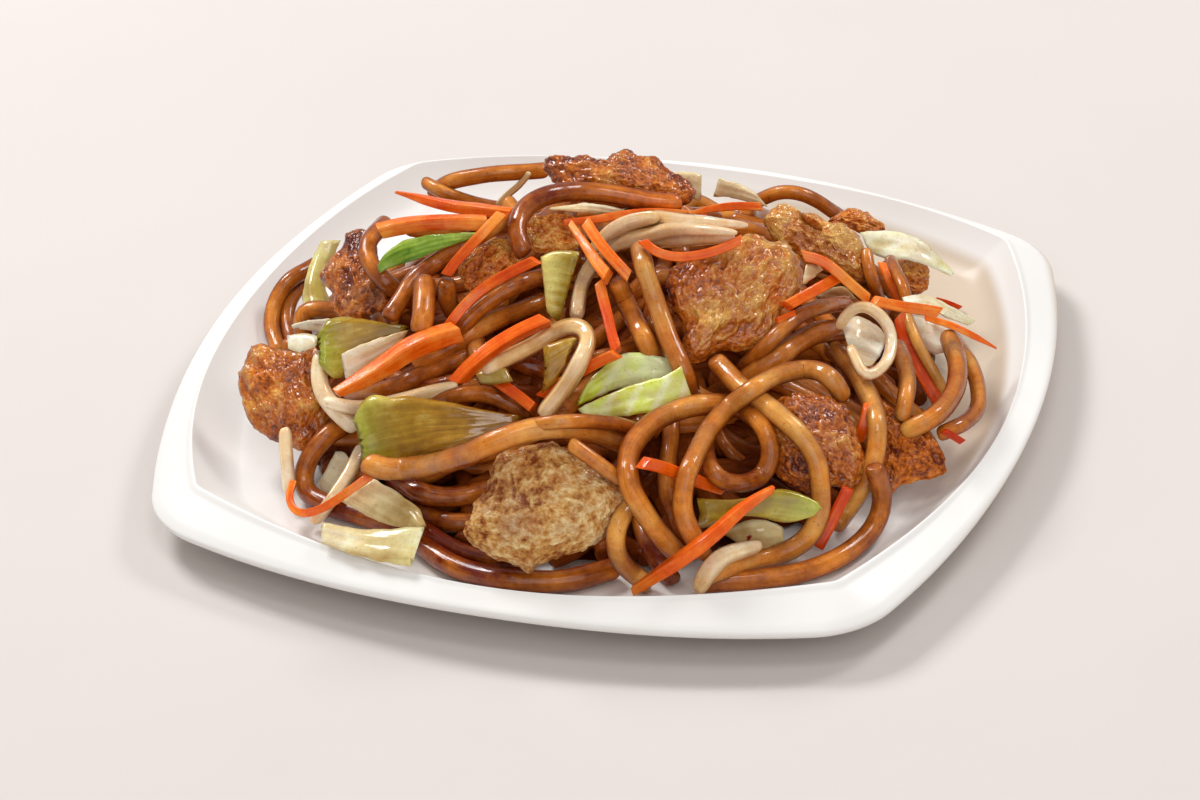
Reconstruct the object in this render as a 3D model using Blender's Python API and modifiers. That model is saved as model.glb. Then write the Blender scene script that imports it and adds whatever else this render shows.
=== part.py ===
"""A square white plate heaped with thick sauced noodles, chicken pieces and stir-fried vegetables.

Metres, +Z up, the plate's foot ring on z = 0 and its centre on the Z axis. The food is laid piece by
piece: a route or outline is drawn where the piece is seen from the front, and its depth along the line
of sight is the nearest place where it rests on the core, the plate and the pieces laid before it.
Routes are in pixels of a 1200 x 800 view, and every size is a real one.
"""

import math
from collections import namedtuple

import bmesh
import bpy
import numpy as np
from mathutils import Vector, noise

# ---- plate -----------------------------------------------------------------------------------
EDGE_HALF = 0.115          # centre to the middle of the outer edge: a 230 mm plate
EDGE_BOW = 0.019           # how far the outer side bows out from its ends
EDGE_CORNER = 0.0267       # corner radius of the outer edge
EDGE_HEIGHT = 0.013        # height of the outer edge at the middle of a side
EDGE_DROP = 0.0015         # how much lower the outer edge is at a corner
RIDGE_HALF = 0.1083        # centre to the middle of the crisp inner ridge
RIDGE_BOW = 0.0218
RIDGE_CORNER = 0.006
RIDGE_HEIGHT = 0.016
RIDGE_RISE = 0.00236       # how much higher the ridge is at a corner
FLOOR_HALF = 0.0965        # centre to the foot of the inner wall
FLOOR_BOW = 0.0195
FLOOR_CORNER = 0.016
FLOOR_HEIGHT = 0.008
BASE_THICKNESS = 0.0045
LIP_THICKNESS = 0.003
FOOT_HALF = 0.072          # centre to the middle of the foot ring's outer side
FOOT_WIDTH = 0.0045
FOOT_BOW = 0.016
FOOT_CORNER = 0.020
SIDE_STEPS = 4             # faces along one side of a plate contour
CORNER_STEPS = 3
FINE_STEPS = (24, 16)      # the same two for a contour that distances are measured to
WALL_POWER = 1.6           # how hollow the inner wall is
WALL_SHARES = (1.0, 0.9, 0.7, 0.45, 0.2, 0.0)   # where the wall's rings lie, from the ridge to the floor
FOOT_ROUNDING = 0.003      # how much tighter the foot ring's inner corners are
HOLLOW_SHARE = 0.02        # size of the small ring that the hollow under the plate closes on
UNDERSIDE_SHARES = (0.07, 0.55, 0.80, 0.955)    # rings of the underside, from the foot ring to the edge
UNDERSIDE_RISE = 0.0008    # how much higher the second of them is than the first
UNDERSIDE_DROP = 0.0062    # and how far the third is below the outer edge
EDGE_ROUNDING = 0.0009     # how far the outermost ring is below the outer edge
RIM_SHARES = (0.06, 0.93)  # rings of the rim's upper side, from the edge to the ridge
RIM_ROUNDING = 0.0003

# ---- heap ------------------------------------------------------------------------------------
CORE_RADIUS = 0.088
CORE_HEIGHT = 0.041        # height of the bare core's middle above the table
CORE_POWER = 2.4           # how flat the middle of the core is
CORE_LEAN = 0.08           # how much higher the core is towards the far side, as a share
CORE_AROUND = 20
CORE_RINGS = 5
CORE_INSIDE = 0.9999       # the core's rings keep to this share of its radius
NO_FLOOR = -0.1            # height given where the core isn't
BACK_STOP = 0.056          # nothing lies further behind the centre than this
BACK_WIDTH = 0.110         # half width at which that limit has closed in on the centre
NODE_GAP = 0.00045         # clearance between neighbouring nodes
SINK = 0.0018              # how far crossing noodles press into each other

# ---- noodles that no route is drawn for --------------------------------------------------------
WANDER_WIDTH = 19.0
WANDER_STEP = 40.0         # pixels between the points of a route
WANDER_POINTS = 7
WANDER_BEND = 0.40         # most that a route turns at a point
UNDER_ROWS = 6             # rows of noodles under the drawn ones, seen from above
UNDER_SPACING = 110.0      # pixels between the starts of neighbours in a row
UNDER_TOP = 0.054          # height that they stay below
UNDER_REACH = 0.084        # and the distance from the centre that they stay within
FAR_TURNS = (2.0, -2.0, math.pi)   # views of the far side, turned from the front view
FAR_ROWS = 6
FAR_SPACING = 145.0
FAR_TOP = 0.046
FAR_REACH = 0.092
FAR_START = 0.004          # they lie at least this far behind the centre
SKYLINE = 0.0475           # most that any of them rises across the front view
SKYLINE_RISE = 0.004       # and how much more at the middle
SKYLINE_WIDTH = 0.030
SKYLINE_HALF = 0.098       # distance to either side at which it has come down to the plate
SKYLINE_POWER = 2.5        # how flat the middle of that limit is
SHORTEST = 0.024
WANDER_V = (560.0, 190.0)  # first and last row of the starts, in pixels down the view
WANDER_U = (300.0, 880.0)  # and their first and last column
WANDER_WOBBLE = 0.2        # how unevenly a route bends
OVERHEAD = math.pi / 2 - 0.02    # elevation of the view that the under noodles are strewn in
SEED = 11

# ---- the line of sight that the routes are drawn along -----------------------------------------
SIGHT_TARGET = np.array((0.0, 0.0, EDGE_HEIGHT))
SIGHT_DISTANCE = 1.43515
SIGHT_ELEVATION = 0.562
SIGHT_YAW = 0.332
SIGHT_ROLL = -0.042
FOCAL_PIXELS = 5328.3
CENTRE_PIXEL = np.array((614.5, 374.9))
PIXEL = SIGHT_DISTANCE / FOCAL_PIXELS      # size of one pixel at the target

SAMPLE_PIXELS = 5.0        # step along a route
RIBBON_PIXELS = 14.0       # step across a leaf or stalk
TRACE_STEP = 0.0015        # step along a laid centre line before it is thinned out
TRACE_SLACK = 0.00035      # how far a thinned centre line may leave the laid one
TRACE_LONGEST = 0.016      # longest straight run of a strand
TAIL_REACHES = (0.003, 0.006, 0.010, 0.015, 0.021, 0.028, 0.037, 0.048)  # how far a tail may go sideways
TAIL_TURNS = 20            # directions that a tail is tried in
TAIL_STEPS = 12
TAIL_BEND = (0.004, 0.4)   # how far a tail runs straight on before it bends, at most and as a share
TAIL_DEPTH = 0.001         # how far below the core's top it ends
FOOTING = 0.0015           # overlap that counts as a fused noodle's hold on what is below it
NEARNESS = (-0.14, 0.12)   # nearness values that are tried, from the farthest to the nearest
NEARNESS_STEP = 0.0005
SLOPE_STEP = 0.0005        # step that slopes are measured over
SLOPE_LIMIT = 4.0          # greatest square of a slope that counts
CURVE_STEPS = 12           # points between two of a route's own
RAIL_PIXELS = 2.0          # step along the edges of a leaf or stalk
RIBBON_REST = 0.75         # radius of the balls that a leaf rests on, over its thickness
RIBBON_BALL = 0.6          # and of those that it adds to the pile
OUTLINE_PIXELS = 6.0       # step along a chunk's outline
CHUNK_SHARES = (0.0, 0.25, 0.5, 0.7, 0.85, 0.97)   # rings of balls in a chunk, from its middle to its rim
CHUNK_ROUNDS = 3           # times that a chunk's plane is moved off what it touches
CHUNK_POWERS = (2.6, 0.62) # how a chunk thins out towards its rim
FACING_STEP = 0.002        # step that the core's slope under a chunk is measured over
FACING_MARGIN = 0.004      # nearer than this to the core's rim, a chunk lies as on the plate

# ---- faceted solids ----------------------------------------------------------------------------
CHUNK_AROUND, CHUNK_RINGS = 10, 5
LUMP_SCALE = 1.9           # lumps of a chunk over its unit sphere
LUMP_SEED = 0.37           # and how far apart the lumps of two pieces are taken
LUMP_DEPTH = 0.35          # most that a lump takes off a chunk's thickness
LUMP_REACH = 0.05          # and off its reach
RIM_POWER = 0.9            # how far out a chunk's rings lie
TINY = 1e-6
WELD = 0.00001             # vertices closer than this become one
FUSED_WELD = 1e-7          # and after the union

Strand = namedtuple("Strand", "name kind width route")
Ribbon = namedtuple("Ribbon", "name kind thick arch upper lower")
Chunk = namedtuple("Chunk", "name kind depth tilt outline")

# Every piece in the order it is laid, from the bottom of the heap to the top.
PIECES = (
    Strand("far_left_outer", "noodle", 17, ((308, 269), (291, 279), (279, 294), (273, 310), (272, 330), (277, 346))),
    Strand("far_left_inner", "noodle", 16, ((303, 283), (292, 296), (287, 312), (288, 330), (292, 344))),
    Strand("back_arch", "noodle", 15, ((762, 199), (775, 193), (790, 192), (805, 195), (820, 202), (833, 211))),
    Strand("back_loop_far", "noodle", 17, ((548, 170), (515, 172), (490, 174), (465, 178), (447, 183), (436, 190))),
    Strand("back_loop_near", "noodle", 14, ((434, 187), (446, 193), (461, 198), (480, 204), (505, 209))),
    Strand("pale_back_bit", "small_sprout", 7, ((530, 172), (520, 184), (507, 195), (497, 206))),
    Ribbon("back_pale_leaf", "small_cabbage", 0.0016, 0.0006, ((719, 178), (740, 184), (756, 193)),
           ((714, 196), (735, 199), (768, 207))),
    Ribbon("cabbage_stalk", "cabbage", 0.0036, 0.0022, ((341, 240), (331, 265), (325, 283), (331, 301), (326, 320)),
           ((321, 240), (311, 262), (304, 285), (303, 302), (304, 320))),
    Chunk("chicken_back", "chicken", 0.007, 0.45, ((541, 170), (548, 159), (566, 161), (577, 157), (600, 163),
          (614, 154), (630, 150), (646, 158), (664, 160), (671, 172), (686, 181), (698, 196), (684, 206),
          (640, 202), (600, 200), (560, 196))),
    Chunk("chicken_back_right", "chicken", 0.0035, 0.6, ((825, 222), (838, 212), (854, 208), (871, 215), (889, 229),
          (868, 234), (845, 232))),
    Chunk("chicken_right_upper", "chicken", 0.005, 0.6, ((880, 262), (900, 256), (920, 259), (931, 269), (932, 280),
          (926, 292), (905, 297), (888, 284))),
    Ribbon("green_cabbage_leaf", "cabbage", 0.0016, 0.001, ((860, 232), (890, 231), (912, 236), (932, 249), (954, 273)),
           ((870, 252), (888, 260), (906, 260), (925, 264), (951, 275))),
    Chunk("chicken_right_back", "chicken", 0.0065, 0.5, ((762, 220), (770, 209), (780, 202), (790, 212), (811, 213),
          (828, 223), (846, 227), (861, 238), (868, 254), (868, 268), (860, 280), (846, 274), (826, 266),
          (803, 262), (788, 250), (770, 236))),
    Chunk("chicken_left_back", "chicken", 0.006, 0.5, ((346, 233), (358, 229), (371, 230), (378, 248), (382, 268),
          (392, 290), (390, 306), (362, 319), (336, 318), (333, 300), (324, 286), (320, 278), (331, 261), (343, 246))),
    Strand("curl_left", "noodle", 18, ((380, 228), (369, 240), (367, 256), (374, 270), (388, 284), (404, 296))),
    Chunk("chicken_under_hook", "chicken", 0.0045, 0.5, ((524, 224), (540, 214), (565, 212), (584, 224), (586, 242),
          (568, 254), (540, 256), (527, 246))),
    Chunk("chicken_left_middle", "chicken", 0.005, 0.5, ((456, 272), (470, 250), (495, 238), (514, 243), (524, 258),
          (514, 274), (492, 286), (468, 294))),
    Chunk("chicken_left", "chicken", 0.007, 0.35, ((249, 344), (262, 340), (276, 347), (300, 351), (316, 346),
          (326, 366), (328, 392), (334, 418), (322, 438), (305, 452), (288, 448), (258, 436), (245, 416),
          (237, 390), (240, 366))),
    Chunk("chicken_right_edge", "chicken", 0.005, 0.4, ((872, 392), (886, 403), (902, 413), (916, 414), (930, 426),
          (940, 444), (946, 460), (945, 475), (922, 482), (902, 486), (890, 496), (880, 478), (876, 450), (872, 420))),
    Strand("right_edge_outer", "noodle", 16, ((958, 345), (970, 364), (978, 386), (979, 406), (968, 421), (945, 432))),
    Ribbon("white_cabbage_right", "cabbage", 0.0022, 0.0012, ((905, 313), (928, 320), (958, 334)),
           ((920, 346), (934, 355), (948, 350))),
    Strand("carrot_right_red", "carrot", 14, ((899, 316), (905, 342), (917, 365), (929, 386), (939, 404))),
    Strand("right_glazed", "noodle", 12, ((908, 317), (917, 342), (930, 366), (944, 392))),
    Strand("right_edge_inner", "noodle", 20, ((951, 344), (957, 362), (957, 383), (949, 402), (934, 417), (914, 427))),
    Strand("right_short", "noodle", 17, ((900, 352), (907, 370), (907, 390), (903, 412))),
    Strand("right_dark", "noodle", 13, ((868, 262), (872, 280), (879, 298))),
    Strand("right_pale", "noodle", 13, ((893, 266), (901, 282), (906, 300))),
    Strand("carrot_right_thin", "small_carrot", 9, ((882, 264), (889, 281), (898, 300))),
    Strand("right_arc", "noodle", 20, ((834, 350), (850, 366), (864, 386), (874, 408), (878, 432), (875, 456),
           (867, 478), (855, 499), (842, 517))),
    Strand("carrot_right_stub", "small_carrot", 13, ((869, 404), (865, 421), (858, 440))),
    Chunk("chicken_ring", "chicken", 0.0065, 0.4, ((768, 400), (790, 393), (815, 394), (842, 402), (855, 423),
          (866, 448), (868, 470), (860, 488), (838, 490), (805, 493), (782, 484), (768, 452), (760, 424))),
    Strand("carrot_red_lower", "carrot", 13, ((848, 488), (838, 508), (828, 529), (818, 547))),
    Strand("bottom_right_long", "noodle", 20, ((705, 583), (735, 581), (765, 578), (800, 572), (834, 560), (858, 545),
           (875, 525), (882, 503), (880, 484), (874, 466))),
    Strand("bottom_left_long", "noodle", 22, ((414, 530), (428, 549), (446, 562), (470, 572), (500, 579), (535, 582),
           (570, 580), (606, 571))),
    Strand("left_dark_low", "noodle", 20, ((418, 505), (432, 517), (450, 523), (476, 522))),
    Strand("left_dark_high", "noodle", 21, ((398, 480), (414, 491), (440, 497), (468, 496), (490, 488))),
    Strand("left_dark_behind", "noodle", 18, ((430, 534), (455, 549), (485, 558), (520, 560))),
    Chunk("chicken_battered", "battered", 0.0085, 0.3, ((500, 452), (522, 445), (550, 440), (580, 452), (606, 470),
          (622, 486), (624, 503), (610, 527), (600, 541), (572, 557), (540, 566), (528, 576), (514, 566),
          (490, 557), (467, 542), (462, 530), (472, 512), (472, 502), (484, 488), (488, 470))),
    Strand("over_battered", "noodle", 15, ((570, 443), (588, 456), (604, 468), (622, 480))),
    Strand("ring_behind", "noodle", 18, ((671, 424), (670, 446), (667, 470), (668, 496), (676, 518), (688, 540))),
    Strand("ring_low_inner", "noodle", 18, ((640, 520), (646, 540), (656, 560), (668, 574))),
    Strand("ring_low_left", "noodle", 19, ((631, 503), (618, 526), (616, 549), (626, 568), (646, 583))),
    Strand("left_tail", "noodle", 20, ((352, 420), (330, 433), (312, 453), (303, 475), (306, 492), (322, 503),
           (348, 512), (378, 520), (402, 526))),
    Ribbon("white_leaf_left", "small_cabbage", 0.0016, 0.0005, ((336, 451), (344, 453), (350, 460)),
           ((318, 484), (327, 496), (342, 484))),
    Strand("sprout_left_low", "sprout", 13, ((284, 428), (286, 450), (288, 472), (290, 494))),
    Strand("sprout_left_cross", "sprout", 13, ((361, 447), (352, 468), (340, 488), (326, 507), (312, 523))),
    Ribbon("cabbage_fold_back", "cabbage", 0.002, 0.0008, ((373, 479), (393, 490), (412, 502), (424, 516), (426, 527)),
           ((341, 501), (358, 511), (375, 520), (392, 526), (410, 529))),
    Ribbon("cabbage_fold_front", "cabbage", 0.0022, 0.0008, ((321, 523), (348, 527), (384, 529), (425, 527)),
           ((321, 543), (348, 553), (380, 561), (411, 567))),
    Strand("carrot_fold", "carrot", 10, ((293, 482), (289, 497), (293, 509), (304, 514), (325, 507), (348, 492),
           (370, 476))),
    Strand("sprout_left_curl", "sprout", 17, ((322, 352), (319, 374), (322, 393), (335, 410), (356, 429))),
    Strand("left_under_carrot", "noodle", 19, ((464, 357), (440, 367), (415, 379), (388, 389), (356, 397))),
    Strand("sprout_left_long", "sprout", 13, ((323, 401), (345, 406), (368, 407), (395, 402), (425, 394), (458, 387))),
    Ribbon("celery_left", "celery", 0.0026, 0.0022, ((319, 337), (334, 322), (365, 320), (406, 327)),
           ((321, 362), (342, 374), (372, 352), (404, 332))),
    Ribbon("cabbage_over_celery", "cabbage", 0.0016, 0.0006, ((341, 354), (362, 344), (385, 336), (408, 330)),
           ((346, 381), (366, 371), (386, 358), (402, 342))),
    Strand("upright_end", "noodle", 23, ((424, 279), (424, 295), (423, 312), (420, 332))),
    Strand("left_rising", "noodle", 18, ((388, 319), (402, 298), (416, 278), (438, 261), (463, 245), (489, 229),
           (508, 219))),
    Strand("beside_upright", "noodle", 19, ((447, 280), (447, 296), (453, 312), (463, 324))),
    Strand("middle_lower", "noodle", 20, ((550, 300), (522, 310), (498, 319), (475, 331), (452, 346), (425, 360))),
    Strand("middle_upper", "noodle", 17, ((548, 274), (520, 284), (498, 295), (478, 310), (460, 328))),
    Strand("hook", "noodle", 20, ((680, 203), (655, 202), (628, 197), (600, 193), (572, 192), (545, 196), (527, 206),
           (518, 221), (518, 238), (526, 255))),
    Strand("carrot_back_long", "carrot", 9.5, ((564, 223), (590, 220), (620, 215), (650, 212), (680, 213), (706, 216))),
    Strand("carrot_back_end", "carrot", 9.5, ((688, 214), (710, 209), (735, 206), (761, 207))),
    Strand("carrot_left_tip", "carrot", 12, ((396, 192), (412, 196), (432, 202), (456, 207), (482, 210), (510, 213))),
    Strand("carrot_left_thick", "carrot", 16, ((379, 231), (402, 226), (430, 223), (460, 222), (488, 223))),
    Ribbon("green_leaf", "leaf", 0.0012, 0.0006, ((376, 263), (388, 247), (412, 239), (442, 234), (482, 232)),
           ((381, 277), (401, 266), (426, 255), (450, 246), (480, 237))),
    Strand("carrot_left_slope", "carrot", 12, ((500, 215), (486, 230), (470, 246), (458, 259), (447, 274))),
    Chunk("chicken_seared", "chicken", 0.0075, 0.45, ((667, 268), (684, 261), (704, 257), (722, 246), (738, 236),
          (754, 232), (772, 239), (787, 241), (798, 254), (804, 272), (800, 292), (785, 312), (777, 330),
          (766, 346), (738, 353), (714, 352), (704, 362), (689, 365), (680, 350), (681, 330), (672, 314), (665, 292))),
    Ribbon("cabbage_bright_back", "cabbage", 0.0018, 0.0012, ((586, 384), (604, 366), (625, 353), (654, 355), (682, 364)),
           ((576, 406), (597, 397), (622, 388), (652, 384), (684, 376))),
    Strand("carrot_red_upright", "carrot", 12.5, ((600, 284), (606, 309), (611, 331), (617, 352))),
    Strand("centre_left", "noodle", 20, ((617, 280), (625, 300), (635, 320), (648, 346))),
    Strand("sprout_back_low", "sprout", 15, ((735, 237), (706, 238), (680, 238), (650, 237), (624, 240), (606, 248),
           (593, 263), (583, 281), (578, 300), (576, 318))),
    Strand("sprout_back_high", "sprout", 12, ((747, 225), (720, 223), (690, 222), (662, 219), (637, 221), (612, 233))),
    Strand("carrot_cross_left", "carrot", 12, ((571, 224), (583, 242), (595, 260), (608, 277))),
    Strand("carrot_cross_right", "carrot", 13, ((587, 224), (599, 242), (613, 259), (629, 276))),
    Strand("centre_bright", "noodle", 20, ((639, 246), (645, 270), (652, 292), (660, 315), (668, 337), (677, 357),
           (685, 377), (692, 396))),
    Strand("carrot_over_seared", "carrot", 11, ((644, 242), (656, 252), (677, 257), (700, 255), (721, 249), (741, 240))),
    Ribbon("celery_stub", "celery", 0.003, 0.0022, ((540, 252), (558, 250), (578, 258)),
           ((547, 317), (552, 320), (561, 316))),
    Strand("carrot_middle_long", "carrot", 12, ((536, 260), (513, 271), (490, 284), (470, 300), (455, 317), (443, 333))),
    Ribbon("cabbage_bright_front", "cabbage", 0.0018, 0.0014, ((577, 409), (604, 396), (636, 384), (664, 376), (681, 366)),
           ((584, 415), (608, 417), (638, 414), (668, 409), (693, 400))),
    Strand("carrot_behind_sprout", "carrot", 13, ((616, 354), (598, 362), (578, 373), (560, 384), (543, 396))),
    Strand("short_middle", "noodle", 17, ((446, 399), (466, 394), (488, 395), (508, 403), (528, 414))),
    Strand("carrot_middle_short", "carrot", 13, ((494, 379), (508, 389), (521, 398), (533, 408))),
    Strand("sprout_middle", "sprout", 17, ((482, 370), (508, 358), (535, 345), (560, 330), (579, 326), (588, 337),
           (582, 356), (570, 379), (555, 401), (541, 417))),
    Strand("carrot_middle_wide", "carrot", 15, ((545, 320), (523, 330), (502, 342), (483, 356), (466, 371), (458, 381))),
    Strand("carrot_left_big", "carrot", 19, ((336, 393), (360, 381), (385, 366), (408, 350), (432, 339), (457, 332))),
    Ribbon("celery_big", "celery", 0.0032, 0.0038, ((358, 432), (376, 412), (402, 402), (432, 400), (472, 407), (518, 418)),
           ((362, 449), (386, 454), (412, 455), (446, 449), (482, 440), (516, 424))),
    Strand("long_wave", "noodle", 23, ((366, 463), (386, 469), (412, 469), (440, 463), (470, 454), (500, 440),
           (526, 431), (556, 427), (588, 431), (622, 442))),
    Strand("long_wave_twin", "noodle", 14, ((538, 424), (562, 421), (590, 421), (620, 425), (648, 432))),
    Strand("ring_left", "noodle", 21, ((730, 404), (697, 405), (668, 414), (646, 428), (631, 447), (627, 469),
           (632, 492), (646, 516), (663, 538), (681, 557))),
    Strand("carrot_in_ring", "carrot", 14, ((643, 463), (661, 467), (680, 474), (700, 482), (722, 489))),
    Strand("inner_bit", "noodle", 13, ((716, 424), (722, 442), (735, 457), (753, 466))),
    Strand("upper_right_far", "noodle", 16, ((840, 304), (820, 307), (800, 315), (781, 330), (765, 346), (746, 364))),
    Strand("upper_right_thick", "noodle", 22, ((838, 330), (815, 333), (795, 345), (775, 360), (752, 376))),
    Strand("carrot_chip", "small_carrot", 9, ((794, 314), (777, 322))),
    Strand("carrot_right_orange", "carrot", 13, ((787, 306), (801, 298), (819, 288), (839, 277))),
    Strand("carrot_right_yellow", "carrot", 12, ((803, 256), (820, 260), (836, 271), (850, 284), (867, 298))),
    Ribbon("pale_strip_right", "small_cabbage", 0.0018, 0.0006, ((902, 298), (924, 294), (950, 306), (976, 320)),
           ((906, 306), (926, 306), (948, 317), (968, 326))),
    Strand("carrot_right_spike", "carrot", 8, ((926, 318), (950, 325), (972, 335), (996, 348))),
    Strand("carrot_right_flat", "carrot", 12.5, ((874, 301), (898, 306), (919, 309), (937, 312))),
    Ribbon("white_cabbage_loop", "cabbage", 0.002, 0.0014, ((842, 326), (856, 316), (874, 323), (888, 339)),
           ((850, 352), (860, 364), (870, 366), (880, 354))),
    Strand("sprout_right_loop", "sprout", 14, ((838, 329), (847, 314), (861, 306), (877, 312), (889, 327), (892, 345),
           (887, 362), (875, 375), (864, 375), (857, 362), (850, 347))),
    Strand("inner_curl", "noodle", 18, ((736, 407), (756, 419), (768, 437), (770, 459), (760, 477), (741, 484),
           (720, 479), (708, 464), (705, 450))),
    Strand("ring_right", "noodle", 20, ((714, 359), (727, 373), (743, 388), (762, 402), (783, 419), (803, 438),
           (816, 460), (820, 485), (820, 510), (812, 532), (795, 547), (768, 557), (742, 564), (716, 573))),
    Ribbon("pale_cabbage_low", "small_cabbage", 0.0018, 0.001, ((724, 534), (742, 522), (764, 520), (783, 527)),
           ((742, 546), (754, 550), (768, 549), (784, 542))),
    Ribbon("celery_right", "celery", 0.003, 0.0026, ((700, 498), (735, 499), (760, 494), (780, 489), (801, 494), (822, 506)),
           ((700, 529), (726, 522), (750, 516), (775, 521), (797, 522), (818, 511))),
    Strand("ring_top", "noodle", 19, ((842, 396), (833, 380), (815, 370), (792, 371), (770, 379), (750, 391), (731, 405),
           (716, 421), (703, 441), (692, 463), (684, 487), (683, 510), (690, 530), (699, 546))),
    Strand("sprout_front", "sprout", 14, ((697, 591), (707, 572), (722, 556), (743, 549), (760, 546))),
    Strand("carrot_front_long", "carrot", 14, ((634, 590), (660, 573), (690, 553), (715, 533), (738, 512), (760, 496),
           (773, 489))),
)

COLOURS = {
    "plate": (0.86, 0.85, 0.82),
    "noodle": (0.46, 0.20, 0.055),
    "chicken": (0.36, 0.14, 0.045),
    "battered": (0.56, 0.36, 0.15),
    "carrot": (0.83, 0.23, 0.03),
    "sprout": (0.78, 0.62, 0.36),
    "cabbage": (0.72, 0.70, 0.42),
    "celery": (0.38, 0.33, 0.06),
    "leaf": (0.16, 0.28, 0.06),
}
STIFFNESS = {"celery": 160, "cabbage": 30, "leaf": 30, "noodle": 40, "sprout": 70, "carrot": 260}
STEEPEST = {"noodle": 1.3, "sprout": 1.0, "carrot": 0.75}  # depth gained over distance across the view
SIDES = {"carrot": 0, "noodle": 0, "sprout": 0}            # bevel resolution: 4 or 6 sides
WIDE_NOODLE = 18.0         # noodles wider than this in pixels get 6 sides
FUSED_SPREAD = (1.20, 1.06)  # radius of a faceted noodle's corners over its true radius, by resolution
FLAT_ANGLE = math.radians(4.0)
WANDER_SIDES = 0           # for noodles that no route is drawn for
END_TAPER = {"noodle": 0.86, "sprout": 0.7, "carrot": 0.9}


# ---- shapes in plan --------------------------------------------------------------------------
def contour(half, bow, corner, side_steps=SIDE_STEPS, corner_steps=CORNER_STEPS):
    """Points round a square with bowed sides and round corners, anticlockwise from the +X side's middle.

    Each side is an arc that bows out by `bow`; a corner arc of radius `corner` meets both sides smoothly.
    """
    end = half - bow
    side_radius = (end * end + bow * bow) / (2.0 * bow)
    side_centre = half - side_radius
    reach = side_radius - corner
    b = -2.0 * side_centre
    corner_centre = (-b + math.sqrt(b * b - 8.0 * (side_centre ** 2 - reach ** 2))) / 4.0
    lean = math.atan2(corner_centre, corner_centre - side_centre)
    quarter = []
    for turn in np.linspace(-lean, lean, side_steps, endpoint=False):
        quarter.append((side_centre + side_radius * math.cos(turn), side_radius * math.sin(turn)))
    for turn in np.linspace(lean, math.pi / 2 - lean, corner_steps, endpoint=False):
        quarter.append((corner_centre + corner * math.cos(turn), corner_centre + corner * math.sin(turn)))
    quarter = np.array(quarter)
    turned = []
    for step in range(4):
        c, s = round(math.cos(step * math.pi / 2)), round(math.sin(step * math.pi / 2))
        turned.append(quarter @ np.array(((c, s), (-s, c))))
    return np.vstack(turned)


def corner_share(points):
    """0 at the middle of a side and 1 at a corner, for points round the centre."""
    turn = np.arctan2(points[:, 1], points[:, 0])
    return (1.0 - np.cos(4.0 * turn)) / 2.0


def reach_at(half, bow, corner, x, y):
    """Distance from the centre to a contour in the direction of each point (x, y)."""
    outline = contour(half, bow, corner, *FINE_STEPS)
    turn = np.arctan2(outline[:, 1], outline[:, 0])
    order = np.argsort(turn)
    return np.interp(np.arctan2(y, x), turn[order], np.hypot(*outline.T)[order], period=2 * math.pi)


# ---- what the food rests on --------------------------------------------------------------------
def ridge_height(share):
    """Height of the plate's inner ridge, which rises towards the corners."""
    return RIDGE_HEIGHT + RIDGE_RISE * share


def edge_height(share):
    """Height of the plate's outer edge, which drops towards the corners."""
    return EDGE_HEIGHT - EDGE_DROP * share


def plate_top(x, y):
    """Height of the plate's upper side under each point; outside the plate, its outer edge."""
    away = np.hypot(x, y)
    share = (1.0 - np.cos(4.0 * np.arctan2(y, x))) / 2.0
    floor = reach_at(FLOOR_HALF, FLOOR_BOW, FLOOR_CORNER, x, y)
    ridge = reach_at(RIDGE_HALF, RIDGE_BOW, RIDGE_CORNER, x, y)
    edge = reach_at(EDGE_HALF, EDGE_BOW, EDGE_CORNER, x, y)
    rise = np.clip((away - floor) / (ridge - floor), 0.0, 1.0)
    fall = np.clip((away - ridge) / (edge - ridge), 0.0, 1.0)
    wall = FLOOR_HEIGHT + (ridge_height(share) - FLOOR_HEIGHT) * wall_rise(rise)
    return wall + (edge_height(share) - ridge_height(share)) * fall


def wall_rise(share):
    """Share of the inner wall's height reached at a share of its width: a hollow curve."""
    return share ** WALL_POWER


def core_top(x, y):
    """Height of the bare core under each point, and below the plate beyond its radius."""
    away = np.hypot(x, y) / CORE_RADIUS
    bottom = FLOOR_HEIGHT + NODE_GAP
    lean = 1.0 + CORE_LEAN * (y * math.cos(SIGHT_YAW) - x * math.sin(SIGHT_YAW)) / CORE_RADIUS
    dome = bottom + (CORE_HEIGHT - bottom) * (1.0 - np.minimum(away, 1.0) ** CORE_POWER) * lean
    return np.where(away < 1.0, dome, NO_FLOOR)


def steepness(height, x, y):
    """Length of the upright over the true distance to a sloping surface, at least 1."""
    step = SLOPE_STEP
    along_x = (height(x + step, y) - height(x - step, y)) / (2 * step)
    along_y = (height(x, y + step) - height(x, y - step)) / (2 * step)
    return np.sqrt(1.0 + np.minimum(along_x ** 2 + along_y ** 2, SLOPE_LIMIT))


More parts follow.
